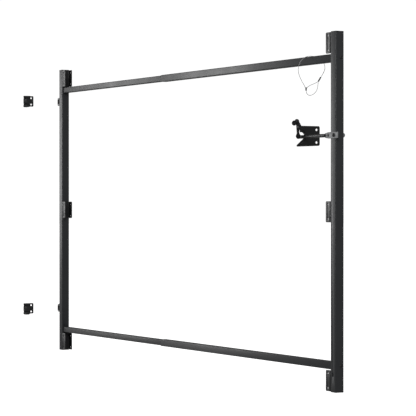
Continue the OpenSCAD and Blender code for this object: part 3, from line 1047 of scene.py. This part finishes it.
@dataclass
class Hinges:
    """Ears, bushes and pins on the gate, and the post's hooked leaves. Sizes are in millimetres."""

    arm_radius: float = 8.7
    arm_thickness: float = 6.0
    pin_radius: float = 4.0
    bush_radius: float = 9.0
    hook_inner: float = 9.06
    hook_outer: float = 12.06
    hook_back: float = 16.0
    leaf_back: float = 41.5
    leaf_half: float = 24.25
    leaf_drop: float = 3.5
    slot_low: float = 10.4
    slot_high: float = 17.1
    slot_back: float = 18.0
    hole_back: float = 30.0
    hole_up: float = 14.5
    hole_radius: float = 4.0
    hole_reach: float = 6.0
    corner: float = 4.0
    nose_corner: float = 2.0
    foot_corner: float = 7.0
    sheet_edge: float = 0.3
    bore_play: float = 0.05
    bore_reach: float = 10.0
    head_radius: float = 6.0
    head_rise: float = 2.0
    head_flat: float = 1.0
    bush_edge: float = 0.9
    weld_ripples: int = 9
    weld_share: float = 0.8
    weld_sink: float = 0.6
    weld_low: float = 1.1
    weld_high: float = 1.45

    def build(self) -> None:
        """Builds both hinges."""
        for level in ("upper", "lower"):
            self.ear(level)
            self.bush(level)
            self.pin(level)
            self.leaf(level)

    def pin_at(self, level: str) -> Vector:
        """Finds the middle of a hinge's pin from its bush."""
        low, high = corners(f"hinge_bush_{level}")
        return (low + high) / 2

    def ear(self, level: str) -> Piece:
        """Makes the two arms that hold the pin, each with a bead of weld at the stile."""
        node = f"hinge_ear_{level}"
        low, high = corners(node)
        pin = self.pin_at(level)
        root = (high.x - pin.x) / MM
        plan = arc((0, 0), self.arm_radius, 90, 270, 16)
        plan += [(root, -self.arm_radius), (root, self.arm_radius)]
        outline = moved(scaled(plan), (pin.x, pin.y))
        arms = []
        for bottom in (low.z, high.z - self.arm_thickness * MM):
            arm = Bench.plate("arm", Plane.XY, outline, bottom, bottom + self.arm_thickness * MM)
            start = Vector((pin.x, pin.y, bottom - MM))
            end = Vector((pin.x, pin.y, bottom + self.bore_reach * MM))
            bore = Bench.rod("bore", start, end, (self.pin_radius + self.bore_play) * MM)
            arms.append(Bench.combine(arm, "DIFFERENCE", bore))
            middle = Vector((high.x, pin.y, bottom + self.arm_thickness / 2 * MM))
            arms.append(self.weld(middle, bottom < pin.z))
        ear = Bench.round_edges(Bench.join(f"{node}_arms", arms), self.sheet_edge * MM)
        return finish_piece(ear, Palette.EAR, "hinge_side", node)

    def weld(self, root: Vector, below: bool) -> Piece:
        """Makes the rippled bead along the outer side of an arm where it meets the stile."""
        outside = -1.0 if below else 1.0
        reach = self.arm_radius * self.weld_share * MM
        valley, ridge = self.weld_low * MM, self.weld_high * MM
        start = root + Vector((-self.weld_sink * MM, -reach, outside * self.arm_thickness / 2 * MM))
        profile: list[Flat] = [(0.0, 0.0)]
        for ripple in range(self.weld_ripples):
            along = 2 * reach * ripple / self.weld_ripples
            profile += [(along, valley), (along + reach / self.weld_ripples, ridge)]
        profile += [(2 * reach, valley), (2 * reach, 0.0)]
        return Bench.turned("weld", profile, start, Vector((0, 1, 0)), 12)

    def bush(self, level: str) -> Piece:
        """Makes the bush: a turned sleeve with broken edges."""
        node = f"hinge_bush_{level}"
        low, high = corners(node)
        half = (high.z - low.z) / 2
        edge = self.bush_edge * MM
        radius = self.bush_radius * MM
        bore = self.pin_radius * MM
        profile = [
            (-half, bore), (-half, radius - edge), (-half + edge, radius), (half - edge, radius),
            (half, radius - edge), (half, bore), (-half, bore)]
        bush = Bench.turned(f"{node}_sleeve", profile, self.pin_at(level), Vector((0, 0, 1)), 48)
        Bench.round_edges(bush, 0.0, angle=30)
        return finish_piece(bush, Palette.HINGE, "hinge_bushes", node)

    def pin(self, level: str) -> Piece:
        """Makes the pin with its two riveted heads."""
        node = f"hinge_pin_{level}"
        low, high = corners(node)
        half = (high.z - low.z) / 2
        rise = self.head_rise * MM
        seat = half - rise
        shank = self.pin_radius * MM
        flat = self.head_flat * MM
        crown = [(distance, flat + radius)
                 for distance, radius in dome(seat, rise, self.head_radius * MM - flat, 6)]
        upper = [(seat, shank), *crown, (half, 0.0)]
        lower = [(-distance, radius) for distance, radius in reversed(upper)]
        pin = Bench.turned(f"{node}_rivet", lower + upper, self.pin_at(level), Vector((0, 0, 1)), 32)
        Bench.round_edges(pin, 0.0)
        return finish_piece(pin, Palette.STEEL, "hinge_bushes", node)

    def hook(self) -> list[Flat]:
        """Outlines a leaf from above, round the place of its pin."""
        outer = arc((0, 0), self.hook_outer, 180, 360, 20)
        inner = arc((0, 0), self.hook_inner, 360, 180, 20)
        leg = [(self.hook_outer, self.hook_back), (self.hook_inner, self.hook_back)]
        far = [(-self.hook_outer, self.leaf_back), (-self.hook_inner, self.leaf_back)]
        return [far[0], *outer, *leg, *inner, far[1]]

    def side_view(self) -> list[Flat]:
        """Outlines a leaf from the side, its hook a little lower than its plate."""
        front, half = -self.hook_outer, self.leaf_half
        corner, nose_corner, foot_corner = self.corner, self.nose_corner, self.foot_corner
        foot_z = -half - self.leaf_drop + foot_corner
        plate = arc((self.leaf_back - corner, -half + corner), corner, -90, 0)
        plate += arc((self.leaf_back - corner, half - corner), corner, 0, 90)
        nose = arc((front + nose_corner, half - nose_corner), nose_corner, 90, 180)
        foot = arc((front + foot_corner, foot_z), foot_corner, 180, 270)
        heel = arc((self.hook_back - foot_corner, foot_z), foot_corner, 270, 330)
        return plate + nose + foot + heel

    def leaf(self, level: str) -> Piece:
        """Makes a post leaf: bent sheet, trimmed to its outline, slotted and drilled."""
        node = f"post_leaf_{level}"
        low, high = corners(node)
        outer = self.hook_outer * MM
        pin = Vector((low.x + outer, low.y + outer, high.z - self.leaf_half * MM))
        plan = moved(scaled(self.hook()), (pin.x, pin.y))
        leaf = Bench.plate(f"{node}_hook", Plane.XY, plan, low.z, high.z)
        side_view = moved(scaled(self.side_view()), (pin.y, pin.z))
        trim = Bench.plate("trim", Plane.YZ, side_view, low.x - MM, high.x + MM)
        Bench.combine(leaf, "INTERSECT", trim)
        cutters = []
        for side in (-1, 1):
            levels = sorted((side * self.slot_low * MM, side * self.slot_high * MM))
            slot_low = Vector((pin.x - self.hook_inner * MM, low.y - MM, pin.z + levels[0]))
            slot_high = Vector((high.x + MM, pin.y + self.slot_back * MM, pin.z + levels[1]))
            cutters.append(Bench.block("slot", slot_low, slot_high))
            hole = Vector((low.x, pin.y + self.hole_back * MM, pin.z + side * self.hole_up * MM))
            reach = Vector((self.hole_reach * MM, 0, 0))
            cutters.append(Bench.rod("hole", hole - reach, hole + reach, self.hole_radius * MM))
        Bench.combine(leaf, "DIFFERENCE", *cutters)
        Bench.round_edges(leaf, self.sheet_edge * MM)
        return finish_piece(leaf, Palette.HINGE, "post_leaves", node)


@dataclass
class Striker:
    """The zinc strap on the latch stile, the bar that the latch closes on, and what joins them."""

    hole_radius: float = 4.0 * MM
    taper: float = 24.0 * MM
    tip_height: float = 17.0 * MM
    strap_corner: float = 2.0 * MM
    strap_edge: float = 0.4 * MM
    punch_reach: float = 10.0 * MM
    flat_height: float = 12.0 * MM
    flat_thickness: float = 3.0 * MM
    flat_overlap: float = 5.0 * MM
    flat_edge: float = 0.8 * MM
    bar_chamfer: float = 0.6 * MM
    rivet_head: float = 5.0 * MM
    rivet_rise: float = 2.0 * MM
    rivet_shank: float = 3.0 * MM
    rivet_closing: float = 0.9
    bolt_head: float = 7.0 * MM
    bolt_rise: float = 3.6 * MM
    nut_face: float = 6.6 * MM
    nut_corner: float = 7.6 * MM
    nut_chamfer: float = 0.6 * MM
    nut_edge: float = 0.15 * MM

    def build(self) -> None:
        """Builds the striker's pieces."""
        self.strap()
        self.bar()
        self.rivet()
        self.bolt()
        self.nut()

    def strap(self) -> Piece:
        """Makes the strap: a punched bar of sheet, narrower towards the striker bar."""
        low, high = corners("striker_strap")
        bolt_low, bolt_high = corners("striker_bolt")
        middle = (low.z + high.z) / 2
        tip = self.tip_height / 2
        corner = self.strap_corner
        square_end = arc((high.x - corner, low.z + corner), corner, -90, 0, 4)
        square_end += arc((high.x - corner, high.z - corner), corner, 0, 90, 4)
        neck = low.x + self.taper
        narrow_end = [(low.x, middle + tip), (low.x, middle - tip)]
        outline = [(neck, low.z), *square_end, (neck, high.z), *narrow_end]
        strap = Bench.plate("striker_strap_plate", Plane.XZ, outline, low.y, high.y)
        reach = Vector((0, self.punch_reach, 0))
        centre = Vector(((bolt_low.x + bolt_high.x) / 2, low.y, middle))
        hole = Bench.rod("hole", centre - reach, centre + reach, self.hole_radius)
        Bench.combine(strap, "DIFFERENCE", hole)
        Bench.round_edges(strap, self.strap_edge, 3, 20)
        return finish_piece(strap, Palette.ZINC, "latch_side", "striker_strap")

    def bar(self) -> Piece:
        """Makes the bar: a round nose, a straight run and a flattened end behind the strap."""
        low, high = corners("striker_bar")
        strap_low, strap_high = corners("striker_strap")
        radius = (high.z - low.z) / 2
        length = strap_low.x - low.x
        nose = [(radius - distance, width) for distance, width in reversed(dome(0.0, radius, radius))]
        chamfer = self.bar_chamfer
        root = [(length - chamfer, radius), (length, radius - chamfer), (length, 0.0)]
        start = Vector((low.x, (strap_low.y + strap_high.y) / 2, (low.z + high.z) / 2))
        bar = Bench.turned("striker_bar_rod", nose + root, start, Vector((1, 0, 0)), 40)
        half = self.flat_height / 2
        flat_low = Vector((strap_low.x - self.flat_overlap, strap_high.y, start.z - half))
        flat_high = Vector((high.x, strap_high.y + self.flat_thickness, start.z + half))
        flat = Bench.block("flat", flat_low, flat_high)
        Bench.round_edges(flat, self.flat_edge, 3)
        Bench.round_edges(bar, 0.0, angle=45)
        whole = Bench.join("striker_bar_rod", [bar, flat])
        return finish_piece(whole, Palette.LATCH, "latch_side", "striker_bar")

    def rivet(self) -> Piece:
        """Makes the rivet through the strap and the bar's flat end, with a head on each side."""
        low, high = corners("striker_rivet")
        length = high.y - low.y
        rise, shank, head = self.rivet_rise, self.rivet_shank, self.rivet_head
        front = [(rise - distance, radius)
                 for distance, radius in reversed(dome(0.0, rise, head, 6, self.rivet_closing))]
        back = [(length - 1.6 * MM, shank), (length - 1.6 * MM, head), (length - 0.6 * MM, 4.6 * MM),
                (length, 3.4 * MM), (length, 0.0)]
        start = Vector(((low.x + high.x) / 2, low.y, (low.z + high.z) / 2))
        profile = [(0.0, 0.0), *front, (rise, shank), *back]
        rivet = Bench.turned("striker_rivet_domed", profile, start, Vector((0, 1, 0)), 32)
        Bench.round_edges(rivet, 0.0)
        return finish_piece(rivet, Palette.OXIDE, "latch_side", "striker_rivet")

    def bolt(self) -> Piece:
        """Makes the bolt through the strap and the stile."""
        low, high = corners("striker_bolt")
        seat = Vector(((low.x + high.x) / 2, low.y + self.bolt_rise, (low.z + high.z) / 2))
        bolt = Fasteners().bolt(
            seat, Vector((0, -1, 0)), self.bolt_head, self.bolt_rise, self.hole_radius, high.y - seat.y)
        Bench.round_edges(bolt, 0.0)
        bolt.name = "striker_bolt_domed"
        return finish_piece(bolt, Palette.OXIDE, "latch_side", "striker_bolt")

    def nut(self) -> Piece:
        """Makes the hexagonal nut with its chamfered corners."""
        low, high = corners("striker_nut")
        middle = (low + high) / 2
        start = Vector((middle.x, low.y, middle.z))
        end = Vector((middle.x, high.y, middle.z))
        nut = Bench.rod("striker_nut_hex", start, end, (high.x - low.x) / 2, 6)
        height = end.y - start.y
        face, corner, chamfer = self.nut_face, self.nut_corner, self.nut_chamfer
        profile = [(0.0, 0.0), (0.0, face), (chamfer, corner), (height - chamfer, corner),
                   (height, face), (height, 0.0)]
        Bench.combine(nut, "INTERSECT", Bench.turned("chamfer", profile, start, Vector((0, 1, 0)), 48))
        bore = Bench.rod("bore", start - Vector((0, MM, 0)), end + Vector((0, MM, 0)), self.hole_radius)
        Bench.combine(nut, "DIFFERENCE", bore)
        Bench.round_edges(nut, self.nut_edge)
        return finish_piece(nut, Palette.STEEL, "latch_side", "striker_nut")


@dataclass
class Latch:
    """The gravity latch. Sizes are in millimetres, places are (Y, Z) from the striker bar's axis."""

    pivot: Flat = (-22.0, 56.5)
    knuckle: Flat = (-17.4, 2.0)
    thumb: Flat = (-35.0, 50.0)
    link: Flat = (-20.2, 35.5)
    hole_y: float = 62.5
    hole_zs: tuple[float, float] = (26.8, -20.0)
    hole_radius: float = 4.5
    punch_reach: float = 20.0
    plate_edge: float = 0.5
    panel_sink: float = 0.5
    panel_rise: float = 1.8
    panel_edge: float = 1.6
    arm_radius: float = 5.4
    tab_radius: float = 6.5
    pivot_radius: float = 8.4
    knuckle_radius: float = 10.0
    thumb_radius: float = 9.5
    disc_step: float = 0.01
    dimple_radius: float = 3.4
    dimple_depth: float = 0.8
    pawl_edge: float = 1.1
    link_radius: float = 3.2
    link_rise: float = 1.4
    link_sink: float = 0.3
    axis: Flat = field(init=False)
    face: float = field(init=False)

    def build(self) -> None:
        """Finds the bar's axis and the plate's face, and builds the plate, the pawl and their rivets."""
        bar_low, bar_high = corners("striker_bar")
        self.axis = ((bar_low.y + bar_high.y) / 2, (bar_low.z + bar_high.z) / 2)
        self.face = corners("latch_plate")[1].x
        self.plate()
        self.pawl()
        self.pivot_rivet()
        self.stop_peg()

    def placed(self, points: Sequence[Flat]) -> list[Flat]:
        """Puts an outline round the bar, in metres."""
        return moved(scaled(points), self.axis)

    def spot(self, at: Flat, x: float) -> Vector:
        """Gives a point of the latch its place, at a distance in front of the plate in millimetres."""
        return Plane.YZ.point(self.placed([at])[0], self.face + x * MM)

    def outline(self) -> list[Flat]:
        """Outlines the plate: screw side, arm to the pivot, throat and lower prong."""
        right = arc((70.3, -26.2), 6, -90, 0) + arc((70.3, 34.7), 6, 0, 90)
        pivot_arm = [(-2.5, 40.7), *arc((-22.0, 57.0), 8.2, 31, 211, 14)]
        pivot_arm += arc((-8.0, 34.0), 8.2, 211, 255, 4)
        throat = [(-8.3, 22.0), (-7.9, 18.2), *arc((-3.5, 4.0), 13.0, 105, -36, 18), (8.0, -5.0)]
        prong = arc((-18.4, -32.4), 3.8, 125, 262, 10)
        return right + pivot_arm + throat + prong

    def plate(self) -> Piece:
        """Makes the plate with its pressed-up middle and its two screw holes."""
        back = corners("latch_plate")[0].x
        plate = Bench.plate("latch_plate_body", Plane.YZ, self.placed(self.outline()), back, self.face)
        across = Vector((self.punch_reach * MM, 0, 0))
        holes = []
        for z in self.hole_zs:
            centre = self.spot((self.hole_y, z), 0.0)
            holes.append(Bench.rod("hole", centre - across, centre + across, self.hole_radius * MM))
        Bench.combine(plate, "DIFFERENCE", *holes)
        Bench.round_edges(plate, self.plate_edge * MM, 3)
        middle = [
            (14, -9), (-6, -26), (-2, -30.5), (46, -28), (50, -24), (50, 32),
            (46, 36), (6, 36), (-1, 30), (13, 14), (17, 2)]
        panel = Bench.plate(
            "panel", Plane.YZ, self.placed(middle), self.face - self.panel_sink * MM,
            self.face + self.panel_rise * MM)
        Bench.round_edges(panel, self.panel_edge * MM, 4, 20)
        both = Bench.join("latch_plate_body", [plate, panel])
        return finish_piece(both, Palette.LATCH, "latch_body", "latch_plate")

    def arm(self, start: Flat, end: Flat, radius: float) -> list[Flat]:
        """Outlines a straight arm with round ends."""
        turn = math.degrees(math.atan2(end[1] - start[1], end[0] - start[0]))
        return arc(end, radius, turn - 90, turn + 90, 12) + arc(start, radius, turn + 90, turn + 270, 12)

    def pawl(self) -> Piece:
        """Makes the pawl (hanging arm, knuckle, thumb tab) and the link rivet, which has no CAD node."""
        low, high = corners("latch_pawl")
        arms = [
            Bench.plate("arm", Plane.YZ, self.placed(self.arm(start, end, radius)), low.x, high.x)
            for start, end, radius in (
                (self.pivot, self.knuckle, self.arm_radius), (self.pivot, self.thumb, self.tab_radius))]
        places = (
            (self.pivot, self.pivot_radius), (self.knuckle, self.knuckle_radius),
            (self.thumb, self.thumb_radius))
        discs = []
        for number, (at, radius) in enumerate(places, start=1):
            centre = self.spot(at, 0)
            proud = number * self.disc_step * MM
            start = centre + Vector((low.x - self.face - proud, 0, 0))
            end = centre + Vector((high.x - self.face + proud, 0, 0))
            discs.append(Bench.rod("disc", start, end, radius * MM, 40))
        pawl = Bench.combine(arms[0], "UNION", arms[1], *discs)
        top = self.spot(self.thumb, 0) + Vector((high.x - self.face, 0, 0))
        floor = top - Vector((self.dimple_depth * MM, 0, 0))
        dimple = Bench.rod("dimple", floor, top + Vector((5 * MM, 0, 0)), self.dimple_radius * MM)
        Bench.combine(pawl, "DIFFERENCE", dimple)
        Bench.round_edges(pawl, self.pawl_edge * MM, 3)
        pawl.name = "latch_pawl_lever"
        finish_piece(pawl, Palette.LATCH, "pawl", "latch_pawl")
        link = self.rivet("pawl_link_rivet", self.link, high.x - self.link_sink * MM)
        return finish_piece(link, Palette.ZINC, "pawl")

    def rivet(self, name: str, at: Flat, x: float) -> Piece:
        """Makes a domed rivet head that looks along +X from a place x."""
        radius, rise, root = self.link_radius * MM, self.link_rise * MM, -0.5 * MM
        start = Plane.YZ.point(self.placed([at])[0], x)
        profile = [(root, 0.0), (root, radius), *dome(0.0, rise, radius)[:-1], (rise, 0.0)]
        rivet = Bench.turned(name, profile, start, Vector((1, 0, 0)), 32)
        return Bench.round_edges(rivet, 0.0)

    def pivot_rivet(self) -> Piece:
        """Makes the pivot rivet: shank, tail behind the plate and domed head over the pawl."""
        low, high = corners("pawl_pivot")
        length = high.x - low.x
        shank, rim, rise = 4 * MM, 6 * MM, 2.2 * MM
        tail = [(0.0, 0.0), (0.0, 5.2 * MM), (1.2 * MM, rim), (2 * MM, rim), (2 * MM, shank)]
        head = dome(length - rise, rise, rim, closing=0.92)
        profile = [*tail, (length - rise, shank), *head, (length, 0.0)]
        start = Plane.YZ.point(self.placed([self.pivot])[0], low.x)
        rivet = Bench.turned("pawl_pivot_rivet", profile, start, Vector((1, 0, 0)), 40)
        Bench.round_edges(rivet, 0.0)
        return finish_piece(rivet, Palette.LATCH, "latch_body", "pawl_pivot")

    def stop_peg(self) -> Piece:
        """Makes the peg that the pawl hangs against."""
        low, high = corners("pawl_stop")
        length, radius = high.x - low.x, (high.z - low.z) / 2
        tip = [(length - 0.8 * MM, radius), (length - 0.2 * MM, radius * 0.8), (length, radius * 0.5)]
        profile = [(0.0, 0.0), (0.0, radius), *tip, (length, 0.0)]
        start = Vector((low.x, (low.y + high.y) / 2, (low.z + high.z) / 2))
        peg = Bench.turned("pawl_stop_peg", profile, start, Vector((1, 0, 0)), 32)
        Bench.round_edges(peg, 0.0)
        return finish_piece(peg, Palette.LATCH, "latch_body", "pawl_stop")


ROPE_ROUTE: list[tuple[float, float, float]] = [
    (2.2422, 0.054, 1.1361), (2.2422, 0.0495, 1.1301), (2.242, 0.043, 1.1236), (2.2416, 0.032, 1.1176),
    (2.2412, 0.018, 1.1121), (2.241, 0.006, 1.1066), (2.241, -0.001, 1.1006), (2.241, -0.004, 1.0936),
    (2.241, -0.0045, 1.0861), (2.241, -0.001, 1.0786), (2.241, 0.006, 1.0739), (2.241, 0.014, 1.0733),
    (2.241, 0.024, 1.0766), (2.241, 0.033, 1.0831), (2.241, 0.04, 1.0921), (2.2406, 0.044, 1.1031),
    (2.2402, 0.046, 1.1141), (2.24, 0.0485, 1.1246), (2.24, 0.052, 1.1311), (2.24, 0.056, 1.1376),
    (2.24, 0.062, 1.1461), (2.24, 0.07, 1.1586), (2.24, 0.0755, 1.1721), (2.24, 0.0745, 1.1861),
    (2.24, 0.066, 1.2001), (2.24, 0.052, 1.2101), (2.24, 0.035, 1.2157), (2.24, 0.0175, 1.217),
    (2.24, 0.0, 1.2151), (2.24, -0.016, 1.2076), (2.24, -0.029, 1.1941), (2.24, -0.0365, 1.1771),
    (2.24, -0.0375, 1.1591), (2.24, -0.032, 1.1411), (2.24, -0.0225, 1.1241), (2.2396, -0.013, 1.1101),
    (2.239, -0.007, 1.1001), (2.2388, -0.0054, 1.0921),
]
"""The rope's route from its first end in the large ferrule to its last in the small one, in metres
from the hinge stile's outer face, the stiles' front face and their feet."""


@dataclass
class PullCable:
    """A wire rope of six strands with an eye at one end, hung over the top rail."""

    diameter: float = 2.0 * MM
    strands: int = 6
    points_per_strand: int = 4
    lay_length: float = 12.0 * MM
    ring_step: float = 0.9 * MM
    curve_steps: int = 24
    groove_share: float = 0.80
    crown_share: float = 0.24
    sleeve_radius: float = 2.6 * MM
    sleeve_chamfer: float = 0.5 * MM
    sleeve_edge: float = 0.15 * MM
    crimp_depth: float = 0.35 * MM
    crimp_half: float = 1.8 * MM
    crimp_floor_half: float = 0.9 * MM

    def build(self) -> None:
        large = self.ferrule("cable_ferrule_large", (0.55, 1.0))
        small = self.ferrule("cable_ferrule_small", (1.0,))
        line = self.line()
        rope = self.rope(line)
        finish_piece(rope, Palette.WIRE, "latch_side", "pull_cable")
        length = sum((second - first).length for first, second in zip(line, line[1:]))
        LOG.info("the pull cable is %.3f m long", length)
        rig.cord(rope, exit=tuple(line[0]), length=round(length, 3), diameter=self.diameter,
                far_end="fitting", stiffness="stiff", lay="hanging",
                path=[tuple(point) for point in line], with_pieces=[large, small])

    def foot(self) -> Vector:
        """Finds the corner of the gate that the route is measured from."""
        stile, _ = corners("hinge_stile")
        cap, _ = corners("hinge_cap_bottom")
        return Vector((stile.x, stile.y, cap.z))

    def line(self) -> list[Vector]:
        """Draws a smooth curve through the route, in close even steps."""
        route = [self.foot() + Vector(point) for point in ROPE_ROUTE]
        dense: list[Vector] = []
        for index in range(len(route) - 1):
            near = [route[max(0, min(len(route) - 1, index + shift))] for shift in (-1, 0, 1, 2)]
            dense += [self.between(near, step / self.curve_steps) for step in range(self.curve_steps)]
        dense.append(route[-1])
        return self.evened(dense)

    @staticmethod
    def between(near: Sequence[Vector], part: float) -> Vector:
        """Finds a point of the curve between the middle two of four route points."""
        first, second, third, fourth = near
        return 0.5 * (2 * second + (third - first) * part
                      + (2 * first - 5 * second + 4 * third - fourth) * part ** 2
                      + (3 * second - first - 3 * third + fourth) * part ** 3)

    def evened(self, dense: Sequence[Vector]) -> list[Vector]:
        """Keeps points of a dense line that are a ring step apart, and its last one."""
        kept = [dense[0]]
        travelled = 0.0
        for first, second in zip(dense, dense[1:]):
            travelled += (second - first).length
            if travelled >= self.ring_step:
                kept.append(second)
                travelled = 0.0
        if (kept[-1] - dense[-1]).length > 1e-5:
            kept.append(dense[-1])
        return kept

    def rope(self, line: Sequence[Vector]) -> Piece:
        """Sweeps the strands' outline along the line, twisting it by one turn per lay length."""
        around = self.strands * self.points_per_strand
        mesh = bmesh.new()
        crown = mesh.verts.layers.float.new("crown")
        rings = []
        travelled = 0.0
        for index, point in enumerate(line):
            ahead = (line[min(index + 1, len(line) - 1)] - line[max(index - 1, 0)]).normalized()
            across = ahead.cross(Vector((1, 0, 0))).normalized()
            up = across.cross(ahead)
            travelled += (point - line[max(index - 1, 0)]).length
            ring = []
            for corner in range(around):
                turn = math.tau * (corner / around + travelled / self.lay_length)
                lobe = abs(math.cos(self.strands * math.pi * corner / around))
                radius = self.diameter / 2 * (self.groove_share + self.crown_share * lobe)
                vertex = mesh.verts.new(point + radius * (math.cos(turn) * across + math.sin(turn) * up))
                vertex[crown] = lobe
                ring.append(vertex)
            rings.append(ring)
        for before, after in zip(rings, rings[1:]):
            for corner in range(around):
                following = (corner + 1) % around
                mesh.faces.new((before[corner], before[following], after[following], after[corner]))
        mesh.faces.new(reversed(rings[0]))
        mesh.faces.new(rings[-1])
        bmesh.ops.recalc_face_normals(mesh, faces=mesh.faces)
        data = bpy.data.meshes.new("pull_cable_rope")
        mesh.to_mesh(data)
        mesh.free()
        rope = bpy.data.objects.new("pull_cable_rope", data)
        bpy.context.scene.collection.objects.link(rope)
        Bench.only(rope)
        bpy.ops.object.shade_smooth_by_angle(angle=math.radians(60))
        return rope

    def ferrule(self, node: str, crimps: Sequence[float]) -> Piece:
        """Makes a pressed oval sleeve at its CAD node, with a groove for each crimp.

        Args:
            node: the CAD node.
            crimps: one number for each crimp, which sets how deep it is.

        Returns:
            The sleeve.
        """
        axis, start, end, stretch = self.sleeve_axis(node)
        length = (end - start).length
        radius = self.sleeve_radius
        rim, shoulder = radius * 0.72, radius * 0.95
        profile: list[Flat] = [(0.0, 0.0), (0.0, rim), (self.sleeve_chamfer, shoulder)]
        for index, depth in enumerate(crimps):
            middle = length * (index + 1) / (len(crimps) + 1)
            dip = self.crimp_depth * depth
            wide, narrow = self.crimp_half, self.crimp_floor_half
            profile += [(middle - wide, radius), (middle - narrow, radius - dip),
                        (middle + narrow, radius - dip), (middle + wide, radius)]
        profile += [(length - self.sleeve_chamfer, shoulder), (length, rim), (length, 0.0)]
        sleeve = Bench.turned(f"{node}_sleeve", profile, start, axis, 32)
        middle = (start + end) / 2
        for vertex in sleeve.data.vertices:
            vertex.co.x = middle.x + (vertex.co.x - middle.x) * stretch
        Bench.round_edges(sleeve, self.sleeve_edge, 2, 35)
        return finish_piece(sleeve, Palette.FERRULE, "latch_side", node)

    def sleeve_axis(self, node: str) -> tuple[Vector, Vector, Vector, float]:
        """Finds a sleeve's direction, its two ends and how much wider than thick it is.

        Args:
            node: the sleeve's CAD node. The ends are kept as (Y, Z) in metres from the foot.

        Returns:
            The direction, the start, the end and the stretch along X.
        """
        low, high = corners(node)
        ends = {"cable_ferrule_large": ((0.0475, 1.126), (0.0575, 1.141)),
                "cable_ferrule_small": ((-0.0047, 1.090), (-0.0044, 1.102))}[node]
        middle = (low.x + high.x) / 2
        foot = self.foot()
        start, end = (Vector((middle, foot.y + y, foot.z + z)) for y, z in ends)
        return (end - start).normalized(), start, end, (high.x - low.x) / (2 * self.sleeve_radius)


@dataclass
class Studio:
    """Camera, light, floor and dome."""

    eye: tuple[float, float, float] = (8.64386, -3.6764, 0.4857)
    azimuth: float = 61.967
    dip: float = 0.139
    lens: float = 175.4
    sensor: float = 36.0
    ambient: float = 0.25
    floor_glow: float = 1.02
    dome_glow: float = 1.05
    floor_radius: float = 60.0
    dome_radius: float = 70.0

    def build_camera(self) -> None:
        """Places the camera."""
        data = bpy.data.cameras.new("camera")
        data.lens = self.lens
        data.sensor_width = self.sensor
        data.clip_end = 200.0
        camera = bpy.data.objects.new("camera", data)
        camera.location = self.eye
        camera.rotation_euler = (math.radians(90 - self.dip), 0.0, math.radians(self.azimuth))
        bpy.context.scene.collection.objects.link(camera)
        bpy.context.scene.camera = camera

    def build_light(self) -> None:
        """Sets a weak even light, a broad low softbox on the left and a small high one on the right."""
        world = bpy.data.worlds.new("studio_light")
        world.use_nodes = True
        background = world.node_tree.nodes["Background"]
        background.inputs["Color"].default_value = (1.0, 1.0, 1.0, 1.0)
        background.inputs["Strength"].default_value = self.ambient
        bpy.context.scene.world = world
        bpy.context.scene.view_settings.view_transform = "Standard"
        self.softbox("softbox_left", (-6.4, -3.4, 1.35), (0.4, 0.0, 0.5), 3.0, 108.0)
        self.softbox("softbox_right", (7.0, -3.0, 3.4), (2.4, 0.0, 0.9), 1.6, 170.0)

    @staticmethod
    def softbox(name: str, place: tuple[float, float, float], aim: tuple[float, float, float],
                size: float, power: float) -> None:
        """Adds a square area light that looks at a point."""
        data = bpy.data.lights.new(name, "AREA")
        data.size = size
        data.energy = power
        lamp = bpy.data.objects.new(name, data)
        lamp.location = place
        lamp.rotation_euler = (Vector(aim) - Vector(place)).to_track_quat("-Z", "Y").to_euler()
        bpy.context.scene.collection.objects.link(lamp)

    def build_surroundings(self) -> None:
        """Lays a white floor under the stiles, inside a white dome. Neither lights the gate."""
        ground = corners("hinge_cap_bottom")[0].z
        bpy.ops.object.select_all(action="DESELECT")
        bpy.ops.mesh.primitive_circle_add(
            vertices=96, radius=self.floor_radius, fill_type="NGON",
            location=(1.2, 0.0, ground - 0.5 * MM))
        floor = Bench.settle("floor")
        floor.data.materials.append(self.white("floor_white", 0.85, self.floor_glow))
        bpy.ops.object.select_all(action="DESELECT")
        bpy.ops.mesh.primitive_uv_sphere_add(segments=64, ring_count=32, radius=self.dome_radius)
        sky = Bench.settle("dome")
        sky.data.materials.append(self.white("dome_white", 0.0, self.dome_glow))
        for stage in (floor, sky):
            stage.visible_diffuse = False
            stage.visible_glossy = False
            stage.visible_shadow = False
            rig.stage(stage)

    @staticmethod
    def white(name: str, diffuse: float, glow: float) -> bpy.types.Material:
        """Makes a plain white with a glow of its own."""
        material = bpy.data.materials.new(name)
        material.use_nodes = True
        shader = material.node_tree.nodes["Principled BSDF"]
        shader.inputs["Base Color"].default_value = (diffuse, diffuse, diffuse, 1.0)
        shader.inputs["Roughness"].default_value = 1.0
        shader.inputs["Specular IOR Level"].default_value = 0.0
        shader.inputs["Emission Color"].default_value = (1.0, 1.0, 1.0, 1.0)
        shader.inputs["Emission Strength"].default_value = glow
        return material


def main() -> None:
    """Builds the studio, the cable and then every other sub-assembly."""
    logging.basicConfig(level=logging.INFO, format="%(name)s: %(message)s")
    studio = Studio()
    studio.build_camera()
    PullCable().build()
    for assembly in (Frame(), ChannelBrackets(), Fasteners(), Hinges(), Striker(), Latch()):
        assembly.build()
        LOG.info("%s is built", type(assembly).__name__)
    studio.build_light()
    studio.build_surroundings()


if __name__ == "__main__":
    note_size("frame")
    main()
    note_size("finished")
